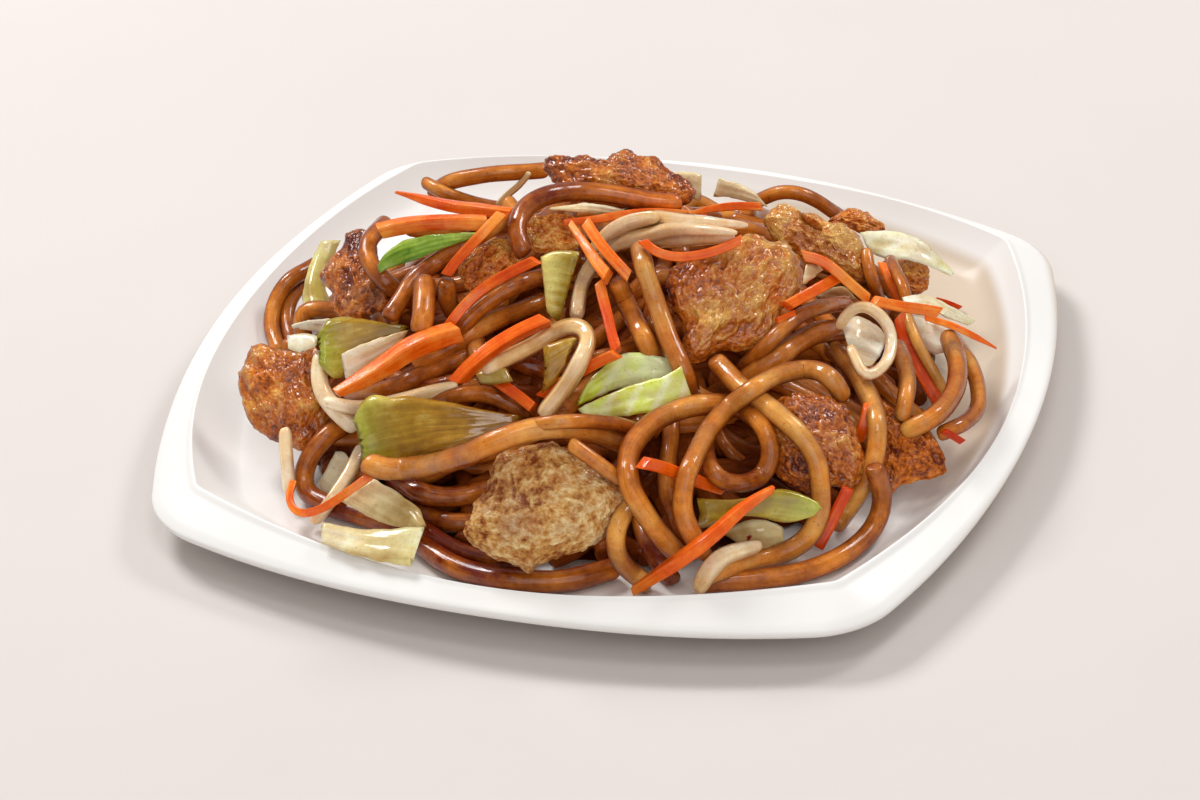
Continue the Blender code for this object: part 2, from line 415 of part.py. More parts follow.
# ---- lines of sight ----------------------------------------------------------------------------
class Sight:
    """A view of the plate: pixels give lines of sight, and a nearness picks the point on each line."""

    def __init__(self, yaw, roll, elevation=SIGHT_ELEVATION):
        se, ce = math.sin(elevation), math.cos(elevation)
        sy, cy = math.sin(yaw), math.cos(yaw)
        level = np.array((cy, sy, 0.0))
        upright = np.array((-sy * se, cy * se, ce))
        c, s = math.cos(roll), math.sin(roll)
        self.back = np.array((sy * ce, -cy * ce, se))
        self.right = level * c + upright * s
        self.up = upright * c - level * s
        self.level = level
        self.eye = SIGHT_TARGET + self.back * SIGHT_DISTANCE

    def lines(self, pixels):
        """Directions from the eye through pixels, each one unit long along the view axis."""
        slope = (np.asarray(pixels, float) - CENTRE_PIXEL) / FOCAL_PIXELS
        return -self.back + slope[:, :1] * self.right - slope[:, 1:2] * self.up

    def point_at(self, lines, nearness):
        """Points on the lines at a distance in front of the target's plane (towards the viewer)."""
        return self.eye + (SIGHT_DISTANCE - np.asarray(nearness))[:, None] * lines

    def is_behind(self, x, y):
        """Whether points lie behind the heap's far limit, a flattened curve across the line of sight."""
        sideways = np.abs(x * self.level[0] + y * self.level[1]) / BACK_WIDTH
        away = y * self.level[0] - x * self.level[1]
        return away > BACK_STOP * (1.0 - np.minimum(sideways, 1.0) ** 3) ** (1.0 / 3.0)


def smooth_route(points, step):
    """Evenly spaced points on a Catmull-Rom curve through a route's own points."""
    own = np.array(points, float)
    own = np.vstack((2 * own[0] - own[1], own, 2 * own[-1] - own[-2]))
    runs = []
    for before, start, end, after in zip(own[:-3], own[1:-2], own[2:-1], own[3:]):
        s = np.linspace(0.0, 1.0, CURVE_STEPS, endpoint=False)[:, None]
        runs.append(0.5 * (2 * start + (end - before) * s + (2 * before - 5 * start + 4 * end - after) * s ** 2
                           + (3 * start - before - 3 * end + after) * s ** 3))
    dense = np.vstack(runs + [own[-2:-1]])
    return evenly(dense, step)


def evenly(dense, step, count=None):
    """Points at equal distances along a dense line: about `step` apart, or `count` of them."""
    length = np.concatenate(([0.0], np.cumsum(np.linalg.norm(np.diff(dense, axis=0), axis=1))))
    if count is None:
        count = max(3, round(length[-1] / step) + 1)
    at = np.linspace(0.0, length[-1], count)
    return np.column_stack([np.interp(at, length, column) for column in dense.T])


# ---- settling a piece on what lies below -------------------------------------------------------
class Pile:
    """Everything laid so far, kept as balls, so that the next piece rests in front of it."""

    def __init__(self):
        self.centres = np.zeros((0, 3))
        self.radii = np.zeros(0)
        self.fused = np.zeros(0, bool)
        self.held = np.zeros(0, bool)

    def add(self, points, radii, fused, held=False):
        """Adds the balls of a laid piece; `held` ones are joined to the core, through others or directly."""
        self.centres = np.vstack((self.centres, points))
        self.radii = np.concatenate((self.radii, np.broadcast_to(radii, len(points))))
        self.fused = np.concatenate((self.fused, np.full(len(points), fused)))
        self.held = np.concatenate((self.held, np.full(len(points), held)))

    def rest(self, sight, lines, radii, fused):
        """Nearness at which balls of the given radii, on the lines, clear the plate, the core and the pile.

        Returns the least nearness and the most, beyond which the plate's front wall is in the way.
        """
        radii = np.broadcast_to(radii, len(lines)).astype(float)
        gap = -SINK if fused else NODE_GAP
        farthest, nearest = NEARNESS
        steps = np.arange(farthest, nearest, NEARNESS_STEP)
        points = sight.eye + (SIGHT_DISTANCE - steps)[None, :, None] * lines[:, None, :]
        x, y, z = points[..., 0], points[..., 1], points[..., 2]
        over_plate = (z - plate_top(x, y)) / steepness(plate_top, x, y) - radii[:, None] - NODE_GAP
        over_core = (z - core_top(x, y)) / steepness(core_top, x, y) - radii[:, None] - gap
        behind = sight.is_behind(x, y)
        first = np.argmax((over_plate > 0.0) & ~behind, axis=1)
        past = np.arange(len(steps))[None, :]
        last_core = np.max(np.where((over_core < 0.0), past, 0), axis=1) + 1
        low = steps[np.minimum(np.maximum(first, last_core), len(steps) - 1)]
        wall = (over_plate < 0.0) & (past > first[:, None])
        high = np.where(wall.any(axis=1), steps[np.argmax(wall, axis=1)] - NEARNESS_STEP, nearest)
        if len(self.radii):
            low = np.maximum(low, self.in_front(sight, lines, radii, fused))
        return low, high

    def in_front(self, sight, lines, radii, fused):
        """Least nearness at which each ball is in front of every ball of the pile that it would meet."""
        length = np.linalg.norm(lines, axis=1)
        ray = lines / length[:, None]
        offset = self.centres - sight.eye
        along = offset @ ray.T
        across = np.einsum("ij,ij->i", offset, offset)[:, None] - along ** 2
        gap = np.where(self.fused & fused, -SINK, NODE_GAP)
        contact = self.radii[:, None] + radii[None, :] + gap[:, None]
        meets = across < contact ** 2
        stop = np.where(meets, along - np.sqrt(np.maximum(contact ** 2 - across, 0.0)), np.inf)
        return np.where(meets.any(axis=0), SIGHT_DISTANCE - stop.min(axis=0) / length, NEARNESS[0])

    def holds(self, points, radii):
        """Whether balls press into the core or into a noodle that the core already holds."""
        x, y, z = points.T
        in_core = (z - core_top(x, y)) / steepness(core_top, x, y) < radii - FOOTING
        return bool(in_core.any() or self.touches(points, radii, self.held, -FOOTING).any())

    def touches(self, points, radii, chosen, gap):
        """For each ball, whether it is within a gap of any chosen ball of the pile."""
        if not chosen.any():
            return np.zeros(len(points), bool)
        apart = np.linalg.norm(points[:, None, :] - self.centres[chosen][None], axis=2)
        return (apart < radii[:, None] + self.radii[chosen][None] + gap).any(axis=1)

    def with_tail(self, points, radii):
        """Carries a noodle's end on into the core or a held noodle, past the toppings that lie there."""
        for length, end, target in sorted(self.tail_targets(points), key=lambda choice: choice[0]):
            start, ahead = points[end], points[end] - points[1 if end == 0 else -2]
            share = np.linspace(0.0, 1.0, TAIL_STEPS)[1:, None]
            bend = start + ahead / np.linalg.norm(ahead) * min(TAIL_BEND[0], TAIL_BEND[1] * length)
            tail = (1 - share) ** 2 * start + 2 * share * (1 - share) * bend + share ** 2 * target
            width = np.full(len(tail), radii[end])
            clear = (tail[:, 2] - plate_top(*tail[:, :2].T)) / steepness(plate_top, *tail[:, :2].T)
            if (clear < width + NODE_GAP).any() or self.touches(tail, width, ~self.fused, NODE_GAP).any():
                continue
            if end == 0:
                return np.vstack((tail[::-1], points)), np.concatenate((width, radii)), True
            return np.vstack((points, tail)), np.concatenate((radii, width)), True
        return points, radii, False

    def tail_targets(self, points):
        """Places that either end of a noodle could be carried to, as (distance, end, place)."""
        for end in (0, -1):
            start = points[end]
            for turn in np.linspace(0.0, 2 * math.pi, TAIL_TURNS, endpoint=False):
                for reach in TAIL_REACHES:
                    spot = start[:2] + reach * np.array((math.cos(turn), math.sin(turn)))
                    top = float(core_top(spot[:1], spot[1:])[0])
                    if top > FLOOR_HEIGHT:
                        target = np.array((*spot, min(top, start[2]) - TAIL_DEPTH))
                        yield np.linalg.norm(target - start), end, target
            for target in self.centres[self.held]:
                distance = np.linalg.norm(target - start)
                if distance < TAIL_REACHES[-1]:
                    yield distance, end, target


def settle(need, rounds, most):
    """Bends a row of nearness values smoothly without going below what each of them needs.

    `most` is the greatest step between neighbours: a lower end is lifted until it keeps to that.
    """
    near = need.copy()
    for _ in range(rounds):
        near[1:-1] = np.maximum(need[1:-1], (near[:-2] + 2 * near[1:-1] + near[2:]) / 4)
    for index in range(1, len(near)):
        near[index] = max(near[index], near[index - 1] - most)
    for index in range(len(near) - 2, -1, -1):
        near[index] = max(near[index], near[index + 1] - most)
    return near


def settle_sheet(need, rounds):
    """Bends a grid of nearness values smoothly in both directions, as settle does a row."""
    near = need.copy()
    for _ in range(rounds):
        padded = np.pad(near, 1, mode="edge")
        mean = (padded[:-2, 1:-1] + padded[2:, 1:-1] + padded[1:-1, :-2] + padded[1:-1, 2:]) / 4
        near = np.maximum(need, (near + mean) / 2)
    return near


def lay_strand(piece, pile, sight, fused, kind):
    """Centre points and radii of a strand along its route."""
    pixels = smooth_route(piece.route, SAMPLE_PIXELS)
    widths = np.atleast_1d(piece.width)
    share = np.linspace(0.0, 1.0, len(pixels))
    radii = 0.5 * PIXEL * np.interp(share, np.linspace(0.0, 1.0, len(widths)), widths)
    lines = sight.lines(pixels)
    low, high = pile.rest(sight, lines, radii, fused)
    near = settle(low, STIFFNESS[kind], STEEPEST[kind] * SAMPLE_PIXELS * PIXEL)
    near = np.minimum(near, np.maximum(high, low))
    points = sight.point_at(lines, near)
    held = fused and pile.holds(points, radii)
    if kind == "noodle" and not held:
        points, radii, held = pile.with_tail(points, radii)
    pile.add(points, radii, fused, held)
    return points, radii


def lay_ribbon(piece, pile, sight, fused, rounds):
    """Grid of points of a thin wide piece between its two edges, arched towards the viewer."""
    upper = smooth_route(piece.upper, RAIL_PIXELS)
    lower = smooth_route(piece.lower, RAIL_PIXELS)
    long_way = max(np.linalg.norm(np.diff(rail, axis=0), axis=1).sum() for rail in (upper, lower))
    wide = np.linalg.norm(upper[len(upper) // 2] - lower[len(lower) // 2])
    count = max(4, round(long_way / RIBBON_PIXELS))
    rows = max(3, round(wide / RIBBON_PIXELS) + 1)
    upper, lower = evenly(upper, None, count), evenly(lower, None, count)
    across = np.linspace(0.0, 1.0, rows)[None, :, None]
    pixels = upper[:, None, :] * (1.0 - across) + lower[:, None, :] * across
    lines = sight.lines(pixels.reshape(-1, 2))
    low, high = pile.rest(sight, lines, piece.thick * RIBBON_REST, fused)
    near = settle_sheet(low.reshape(count, rows), rounds)
    near = near + piece.arch * (1.0 - (2.0 * across[..., 0] - 1.0) ** 2)
    near = np.minimum(near.ravel(), np.maximum(high, low))
    points = sight.point_at(lines, near)
    pile.add(points, piece.thick * RIBBON_BALL, fused)
    return points.reshape(count, rows, 3)


def lay_chunk(piece, pile, sight, fused):
    """Centre, outline and facing of a thick piece, as a function from (share, turn) to a surface point."""
    outline = smooth_route(piece.outline + piece.outline[:1], OUTLINE_PIXELS)[:-1]
    middle = outline.mean(axis=0)
    shares = np.array(CHUNK_SHARES)
    pixels = (middle + shares[:, None, None] * (outline - middle)[None]).reshape(-1, 2)
    half_depth = np.repeat(piece.depth * thickness_share(shares), len(outline))
    lines = sight.lines(pixels)
    low, _ = pile.rest(sight, lines, half_depth, fused)
    centre_line = sight.lines(middle[None])
    start = np.median(low)
    facing = chunk_facing(sight, sight.point_at(centre_line, np.array((start,)))[0], piece.tilt)

    def plane(chosen, nearness):
        anchor = sight.point_at(centre_line, np.array((nearness,)))[0]
        return anchor, SIGHT_DISTANCE - ((anchor - sight.eye) @ facing) / (chosen @ facing)

    for _ in range(CHUNK_ROUNDS):
        start += np.max(low - plane(lines, start)[1])
    anchor, near = plane(lines, start)
    pile.add(sight.point_at(lines, near), half_depth, fused)
    rim_lines = sight.lines(outline)
    return anchor, sight.point_at(rim_lines, plane(rim_lines, start)[1]), facing


def thickness_share(share):
    """Share of a chunk's half depth at a share of the way from its middle to its rim."""
    return np.maximum(1.0 - share ** CHUNK_POWERS[0], 0.0) ** CHUNK_POWERS[1]


def chunk_facing(sight, point, tilt):
    """Direction a chunk's broad side faces: between the viewer and straight out of the core."""
    x, y = point[0], point[1]
    step = FACING_STEP
    slope_x = (core_top(x + step, y) - core_top(x - step, y)) / (2 * step)
    slope_y = (core_top(x, y + step) - core_top(x, y - step)) / (2 * step)
    on_core = math.hypot(x, y) < CORE_RADIUS - FACING_MARGIN
    out = np.array((-slope_x, -slope_y, 1.0)) if on_core else np.array((0, 0, 1.0))
    out /= np.linalg.norm(out)
    facing = sight.back * (1.0 - tilt) + out * tilt
    return facing / np.linalg.norm(facing)


# ---- Blender objects ---------------------------------------------------------------------------
def new_collection(name):
    """A collection linked to the scene."""
    collection = bpy.data.collections.new(name)
    bpy.context.scene.collection.children.link(collection)
    return collection


def material(kind):
    """The Principled material of a kind of food or of the plate, made once."""
    made = bpy.data.materials.get(kind)
    if made:
        return made
    made = bpy.data.materials.new(kind)
    made.use_nodes = True
    shader = made.node_tree.nodes["Principled BSDF"]
    shader.inputs["Base Color"].default_value = (*COLOURS[kind], 1.0)
    shader.inputs["Roughness"].default_value = 0.12 if kind == "plate" else 0.4
    shader.inputs["Metallic"].default_value = 0.0
    return made


def object_from_bmesh(name, mesh, kind, collection):
    """A mesh object with outward normals from a bmesh, which is freed."""
    bmesh.ops.recalc_face_normals(mesh, faces=mesh.faces)
    if mesh.calc_volume(signed=True) < 0.0:
        bmesh.ops.reverse_faces(mesh, faces=mesh.faces)
    data = bpy.data.meshes.new(name)
    mesh.to_mesh(data)
    mesh.free()
    data.materials.append(material(kind))
    thing = bpy.data.objects.new(name, data)
    collection.objects.link(thing)
    return thing


def mesh_from_object(thing, name, kind, collection, weld=WELD):
    """Replaces an object by the mesh it evaluates to, with vertices closer than `weld` made one."""
    evaluated = thing.evaluated_get(bpy.context.evaluated_depsgraph_get())
    data = bpy.data.meshes.new_from_object(evaluated)
    solid = bmesh.new()
    solid.from_mesh(data)
    bmesh.ops.remove_doubles(solid, verts=solid.verts, dist=weld)
    bpy.data.objects.remove(thing)
    made = object_from_bmesh(name, solid, kind, collection)
    bpy.data.meshes.remove(data)
    return made


def loft(mesh, rings):
    """Joins rings of equally many points, each a list of (x, y, z), and returns their vertices."""
    loops = [[mesh.verts.new(point) for point in ring] for ring in rings]
    for lower, upper in zip(loops[:-1], loops[1:]):
        for index in range(len(lower)):
            after = (index + 1) % len(lower)
            mesh.faces.new((lower[index], lower[after], upper[after], upper[index]))
    return loops


def close_loop(mesh, loop, height):
    """Closes a loop of vertices with a fan round one point on the Z axis."""
    middle = mesh.verts.new((0.0, 0.0, height))
    for index, vertex in enumerate(loop):
        mesh.faces.new((vertex, loop[(index + 1) % len(loop)], middle))


def make_plate(collection):
    """The plate: a loft of bowed square contours from the foot ring out to the edge and in to the floor."""
    def ring(half, bow, corner, height):
        plan = contour(half, bow, corner)
        heights = height(corner_share(plan)) if callable(height) else np.full(len(plan), height)
        return np.column_stack((plan, heights))

    def between(start, end, share):
        return tuple(a + (b - a) * share for a, b in zip(start, end))

    edge = (EDGE_HALF, EDGE_BOW, EDGE_CORNER)
    ridge = (RIDGE_HALF, RIDGE_BOW, RIDGE_CORNER)
    floor = (FLOOR_HALF, FLOOR_BOW, FLOOR_CORNER)
    foot = (FOOT_HALF, FOOT_BOW, FOOT_CORNER)
    foot_inner = (FOOT_HALF - FOOT_WIDTH, FOOT_BOW, FOOT_CORNER - FOOT_ROUNDING)
    under = FLOOR_HEIGHT - BASE_THICKNESS
    rings = [
        ring(*between(foot_inner, (0.0, 0.0, 0.0), HOLLOW_SHARE), under),
        ring(*foot_inner, 0.0),
        ring(*foot, 0.0),
        ring(*between(foot, edge, UNDERSIDE_SHARES[0]), under),
        ring(*between(foot, edge, UNDERSIDE_SHARES[1]), under + UNDERSIDE_RISE),
        ring(*between(foot, edge, UNDERSIDE_SHARES[2]), lambda share: edge_height(share) - UNDERSIDE_DROP),
        ring(*between(foot, edge, UNDERSIDE_SHARES[3]), lambda share: edge_height(share) - LIP_THICKNESS),
        ring(*edge, lambda share: edge_height(share) - EDGE_ROUNDING),
        ring(*between(edge, ridge, RIM_SHARES[0]), lambda share: edge_height(share) + RIM_ROUNDING),
        ring(*between(edge, ridge, RIM_SHARES[1]), lambda share: ridge_height(share) - RIM_ROUNDING),
    ]
    for share in WALL_SHARES:
        rings.append(ring(*between(floor, ridge, share), lambda corner, rise=wall_rise(share):
                          FLOOR_HEIGHT + (ridge_height(corner) - FLOOR_HEIGHT) * rise))
    mesh = bmesh.new()
    loops = loft(mesh, rings)
    close_loop(mesh, loops[0][::-1], under)
    close_loop(mesh, loops[-1], FLOOR_HEIGHT)
    return object_from_bmesh("plate", mesh, "plate", collection)


def wandering_routes(random, rows, spacing):
    """Pixel routes of wandering noodles whose starts fill rows of a view, staggered row by row."""
    for row, v in enumerate(np.linspace(*WANDER_V, rows)):
        for u in np.arange(WANDER_U[0] + (row % 2) * spacing / 2, WANDER_U[1], spacing):
            wobble = (-WANDER_WOBBLE, WANDER_WOBBLE, WANDER_POINTS)
            bends = random.uniform(-WANDER_BEND, WANDER_BEND) + random.uniform(*wobble)
            headings = random.uniform(0.0, 2 * math.pi) + np.cumsum(bends)
            steps = WANDER_STEP * np.column_stack((np.cos(headings), np.sin(headings)))
            route = np.array((u, v)) + np.cumsum(steps, axis=0)
            yield smooth_route(route - route.mean(axis=0) + np.array((u, v)), SAMPLE_PIXELS)


def lay_wandering(pixels, sight, pile, fits):
    """Lays the longest run of a wandering noodle that fits; yields its centre points and radii, if any."""
    lines = sight.lines(pixels)
    radii = np.full(len(pixels), 0.5 * PIXEL * WANDER_WIDTH)
    low, _ = pile.rest(sight, lines, radii, True)
    points = sight.point_at(lines, settle(low, STIFFNESS["noodle"], STEEPEST["noodle"] * SAMPLE_PIXELS * PIXEL))
    run = longest_run(fits(points) & under_skyline(points))
    points, radii = points[run], radii[run]
    if len(points) * SAMPLE_PIXELS * PIXEL > SHORTEST and pile.holds(points, radii):
        pile.add(points, radii, True, True)
        yield points, radii


def under_skyline(points):
    """Whether points stay hidden behind the food in the front view, which rises higher at its middle."""
    front = Sight(SIGHT_YAW, SIGHT_ROLL)
    seen = points - SIGHT_TARGET
    sideways = np.abs(seen @ front.right)
    top = SKYLINE + SKYLINE_RISE * np.exp(-(sideways / SKYLINE_WIDTH) ** 2)
    return seen @ front.up < top * np.sqrt(1.0 - np.minimum(sideways / SKYLINE_HALF, 1.0) ** SKYLINE_POWER)


def under_noodles(pile):
    """Noodles strewn over the bare core, which the drawn ones lie on."""
    sight = Sight(SIGHT_YAW, 0.0, OVERHEAD)
    for pixels in wandering_routes(np.random.default_rng(SEED), UNDER_ROWS, UNDER_SPACING):
        yield from lay_wandering(pixels, sight, pile, lambda points: (
            (points[:, 2] < UNDER_TOP) & (np.hypot(*points[:, :2].T) < UNDER_REACH)))


def far_noodles(pile):
    """Noodles strewn over the sides that the front view doesn't show."""
    random = np.random.default_rng(SEED + 1)
    for turn in FAR_TURNS:
        sight = Sight(SIGHT_YAW + turn, 0.0)
        for pixels in wandering_routes(random, FAR_ROWS, FAR_SPACING):
            yield from lay_wandering(pixels, sight, pile, lambda points: (
                (points[:, 2] < FAR_TOP) & (np.hypot(*points[:, :2].T) < FAR_REACH) & (far_side(points) > FAR_START)))


def far_side(points):
    """How far behind the centre points lie, away from the front view."""
    return points[:, 1] * math.cos(SIGHT_YAW) - points[:, 0] * math.sin(SIGHT_YAW)


def longest_run(flags):
    """Slice of the longest unbroken run of true flags."""
    edges = np.flatnonzero(np.diff(np.concatenate(([0], flags.astype(int), [0]))))
    if not len(edges):
        return slice(0, 0)
    lengths = edges[1::2] - edges[::2]
    best = int(np.argmax(lengths))
    return slice(edges[2 * best], edges[2 * best + 1])


def make_core(collection):
    """The bare core of the noodle heap: a sphere pressed into the dome that stands on the plate's floor."""
    mesh = bmesh.new()
    bmesh.ops.create_uvsphere(mesh, u_segments=CORE_AROUND, v_segments=2 * CORE_RINGS, radius=1.0)
    for vertex in mesh.verts:
        height = vertex.co.z
        share = math.hypot(vertex.co.x, vertex.co.y)
        turn = math.atan2(vertex.co.y, vertex.co.x)
        away = (1.0 - math.acos(min(1.0, abs(height))) / (math.pi / 2)) if share > TINY else 1.0
        spread = CORE_RADIUS * (1.0 - away) * CORE_INSIDE
        x, y = spread * math.cos(turn), spread * math.sin(turn)
        dome = float(core_top(np.array((x,)), np.array((y,)))[0])
        on_top = height > TINY
        vertex.co = (x, y, max(dome, FLOOR_HEIGHT + 2 * NODE_GAP) if on_top else FLOOR_HEIGHT + NODE_GAP)
    return object_from_bmesh("noodles", mesh, "noodle", collection)


def make_tube(name, points, radii, sides, kind, collection, taper=1.0):
    """A strand as a bevelled curve with filled caps, made a mesh; its ends are a little thinner."""
    curve = bpy.data.curves.new(name, "CURVE")
    curve.dimensions = "3D"
    curve.bevel_depth = 1.0
    curve.bevel_resolution = sides
    curve.use_fill_caps = True
    spline = curve.splines.new("POLY")
    spline.points.add(len(points) - 1)
    for index, (point, place, radius) in enumerate(zip(spline.points, points, radii)):
        point.co = (*place, 1.0)
        point.radius = radius * (taper if index in (0, len(points) - 1) else 1.0)
    thing = bpy.data.objects.new(name, curve)
    bpy.context.scene.collection.objects.link(thing)
    return mesh_from_object(thing, name, kind, collection)


def thin_out(rows):
    """Leaves out points of a centre line wherever a straight run is near enough to it."""
    kept = [0]
    while kept[-1] < len(rows) - 1:
        start = rows[kept[-1], :3]
        end = kept[-1] + 1
        while end + 1 < len(rows):
            chord = rows[end + 1, :3] - start
            between = rows[kept[-1] + 1:end + 1, :3] - start
            off = between - np.outer(between @ chord / (chord @ chord), chord)
            if np.linalg.norm(chord) > TRACE_LONGEST or np.linalg.norm(off, axis=1).max() > TRACE_SLACK:
                break
            end += 1
        kept.append(end)
    return rows[kept]


def make_strand(name, laid, collection, kind, sides):
    """A noodle, carrot strip or sprout along its settled centre line."""
    points, radii = laid
    rows = thin_out(evenly(np.column_stack((points, radii)), TRACE_STEP))
    spread = FUSED_SPREAD[sides] if kind == "noodle" else 1.0
    return make_tube(name, rows[:, :3], rows[:, 3] * spread, sides, kind, collection, END_TAPER[kind])


def make_ribbon(piece, grid, collection, kind):
    """A leaf or stalk piece: a grid laid on its settled points, thickened by a Solidify modifier."""
    along, rows = grid.shape[:2]
    mesh = bmesh.new()
    bmesh.ops.create_grid(mesh, x_segments=along - 1, y_segments=rows - 1, size=1.0)
    for vertex in mesh.verts:
        i = round((vertex.co.x + 1.0) / 2.0 * (along - 1))
        j = round((vertex.co.y + 1.0) / 2.0 * (rows - 1))
        vertex.co = grid[i, j]
    bmesh.ops.triangulate(mesh, faces=mesh.faces)
    thing = object_from_bmesh(piece.name, mesh, kind, collection)
    shell = thing.modifiers.new("thickness", "SOLIDIFY")
    shell.thickness = piece.thick
    shell.offset = 0.0
    return mesh_from_object(thing, piece.name, kind, collection)


def make_chunk(piece, laid, collection, kind):
    """A chunk of meat: a sphere drawn out to the piece's outline, with an uneven lumpy surface."""
    anchor, rim, facing = laid
    mesh = bmesh.new()
    bmesh.ops.create_uvsphere(mesh, u_segments=CHUNK_AROUND, v_segments=CHUNK_RINGS, radius=1.0)
    rim = np.vstack((rim, rim[:1]))
    seed = Vector((sum(map(ord, piece.name)) * LUMP_SEED, 0.0, 0.0))
    for vertex in mesh.verts:
        share = min(1.0, math.hypot(vertex.co.x, vertex.co.y))
        side = math.copysign(1.0, vertex.co.z) if abs(vertex.co.z) > TINY else 0.0
        turn = (math.atan2(vertex.co.y, vertex.co.x) / (2 * math.pi)) % 1.0
        spot = np.array([np.interp(turn * (len(rim) - 1), range(len(rim)), column) for column in rim.T])
        spread = math.sin(share * math.pi / 2) ** RIM_POWER
        lump = 0.5 + 0.5 * noise.noise(vertex.co * LUMP_SCALE + seed)
        depth = piece.depth * float(thickness_share(np.array(spread))) * (1.0 - LUMP_DEPTH * lump)
        vertex.co = anchor + (spot - anchor) * spread * (1.0 - LUMP_REACH * lump) + facing * side * depth
    return object_from_bmesh(piece.name, mesh, kind, collection)


def fuse(core, strands, collection):
    """Joins the noodles to the core with one Boolean union, and keeps the one outer body."""
    union = core.modifiers.new("fused", "BOOLEAN")
    union.operation = "UNION"
    union.operand_type = "COLLECTION"
    union.collection = strands
    union.solver = "MANIFOLD"
    made = mesh_from_object(core, "noodles", "noodle", collection, weld=FUSED_WELD)
    for thing in list(strands.objects):
        bpy.data.objects.remove(thing)
    join_flat_faces(made)
    keep_outer_body(made)
    return made


def keep_outer_body(thing):
    """Deletes every shell of a mesh but its largest: sealed hollows get filled and loose scraps go."""
    mesh = bmesh.new()
    mesh.from_mesh(thing.data)
    left = set(mesh.faces)
    shells = []
    while left:
        shell, queue = set(), [left.pop()]
        while queue:
            face = queue.pop()
            shell.add(face)
            for edge in face.edges:
                for other in edge.link_faces:
                    if other in left:
                        left.remove(other)
                        queue.append(other)
        shells.append(shell)
    shells.sort(key=len, reverse=True)
    for shell in shells[1:]:
        bmesh.ops.delete(mesh, geom=list(shell), context="FACES")
    loose = [vertex for vertex in mesh.verts if not vertex.link_faces]
    bmesh.ops.delete(mesh, geom=loose, context="VERTS")
    mesh.to_mesh(thing.data)
    mesh.free()


def join_flat_faces(thing):
    """Dissolves the edges that the union left across flat faces, then splits faces into triangles."""
    mesh = bmesh.new()
    mesh.from_mesh(thing.data)
    bmesh.ops.dissolve_limit(mesh, angle_limit=FLAT_ANGLE, verts=mesh.verts, edges=mesh.edges)
    bmesh.ops.triangulate(mesh, faces=mesh.faces)
    for edge in [edge for edge in mesh.edges if len(edge.link_faces) == 4]:
        turn_diagonal(mesh, edge)
    mesh.to_mesh(thing.data)
    mesh.free()


def turn_diagonal(mesh, edge):
    """Parts an edge that two pairs of triangles share, by giving one flat pair the other diagonal."""
    start, end = edge.verts
    pairs = [(one, other) for one in edge.link_loops for other in edge.link_loops
             if one.vert is start and other.vert is end]
    for one, other in sorted(pairs, key=lambda pair: -pair[0].face.normal.dot(pair[1].face.normal)):
        left, right = one.link_loop_prev.vert, other.link_loop_prev.vert
        facing = one.face.normal + other.face.normal
        halves = ((start, right, left), (right, end, left))
        turned = [(b.co - a.co).cross(c.co - a.co).dot(facing) > 0.0 for a, b, c in halves]
        if all(turned) and mesh.edges.get((left, right)) is None:
            mesh.faces.remove(one.face)
            mesh.faces.remove(other.face)
            for half in halves:
                mesh.faces.new(half)
            return


def main():
    """Builds the plate, the noodle heap and everything that lies on it."""
    for thing in list(bpy.data.objects):
        bpy.data.objects.remove(thing)
    collection = new_collection("noodle_plate")
    strands = new_collection("noodle_strands")
    make_plate(collection)
    core = make_core(collection)
    pile = Pile()
    front = Sight(SIGHT_YAW, SIGHT_ROLL)
    for number, laid in enumerate(under_noodles(pile)):
        make_strand(f"under_{number}", laid, strands, "noodle", WANDER_SIDES)
    for piece in PIECES:
        small = piece.kind.startswith("small_")
        kind = piece.kind.removeprefix("small_")
        fused = small or kind == "noodle"
        target = strands if fused else collection
        if isinstance(piece, Strand):
            sides = 1 if kind == "noodle" and piece.width > WIDE_NOODLE else SIDES[kind]
            make_strand(piece.name, lay_strand(piece, pile, front, fused, kind), target, kind, sides)
        elif isinstance(piece, Ribbon):
            make_ribbon(piece, lay_ribbon(piece, pile, front, fused, STIFFNESS[kind]), target, kind)
        else:
            make_chunk(piece, lay_chunk(piece, pile, front, fused), target, kind)
    for number, laid in enumerate(far_noodles(pile)):
        make_strand(f"far_{number}", laid, strands, "noodle", WANDER_SIDES)
    fuse(core, strands, collection)
    bpy.data.collections.remove(strands)


main()
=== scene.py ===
"""Looks of a square white plate heaped with thick sauced noodles, chicken pieces and vegetables.

Metres, +Z up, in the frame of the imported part. Every piece of food is laid as its solid is: a route or
outline drawn where the piece is seen from the front, at the nearest place along the line of sight where
it rests on the core, the plate and the pieces laid before it. Routes are in pixels of a 1200 x 800 view.
"""

import logging
import math
from dataclasses import dataclass, field, replace
from enum import Enum
from typing import Callable, Iterable, Iterator

import bpy
import numpy as np
from mathutils import Matrix


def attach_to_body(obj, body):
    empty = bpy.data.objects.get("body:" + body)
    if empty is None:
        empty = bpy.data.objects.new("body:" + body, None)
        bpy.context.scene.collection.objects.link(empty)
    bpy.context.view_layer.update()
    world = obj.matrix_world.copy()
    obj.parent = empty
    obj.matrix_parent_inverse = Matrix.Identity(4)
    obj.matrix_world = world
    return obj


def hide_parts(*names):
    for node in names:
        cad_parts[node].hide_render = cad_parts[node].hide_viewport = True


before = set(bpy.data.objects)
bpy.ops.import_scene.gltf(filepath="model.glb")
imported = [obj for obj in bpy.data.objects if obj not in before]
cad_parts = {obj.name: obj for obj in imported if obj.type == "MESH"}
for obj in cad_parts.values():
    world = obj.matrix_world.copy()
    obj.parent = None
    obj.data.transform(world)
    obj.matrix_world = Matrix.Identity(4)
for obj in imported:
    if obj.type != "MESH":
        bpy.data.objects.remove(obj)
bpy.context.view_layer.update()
LOG = logging.getLogger("noodle_plate")
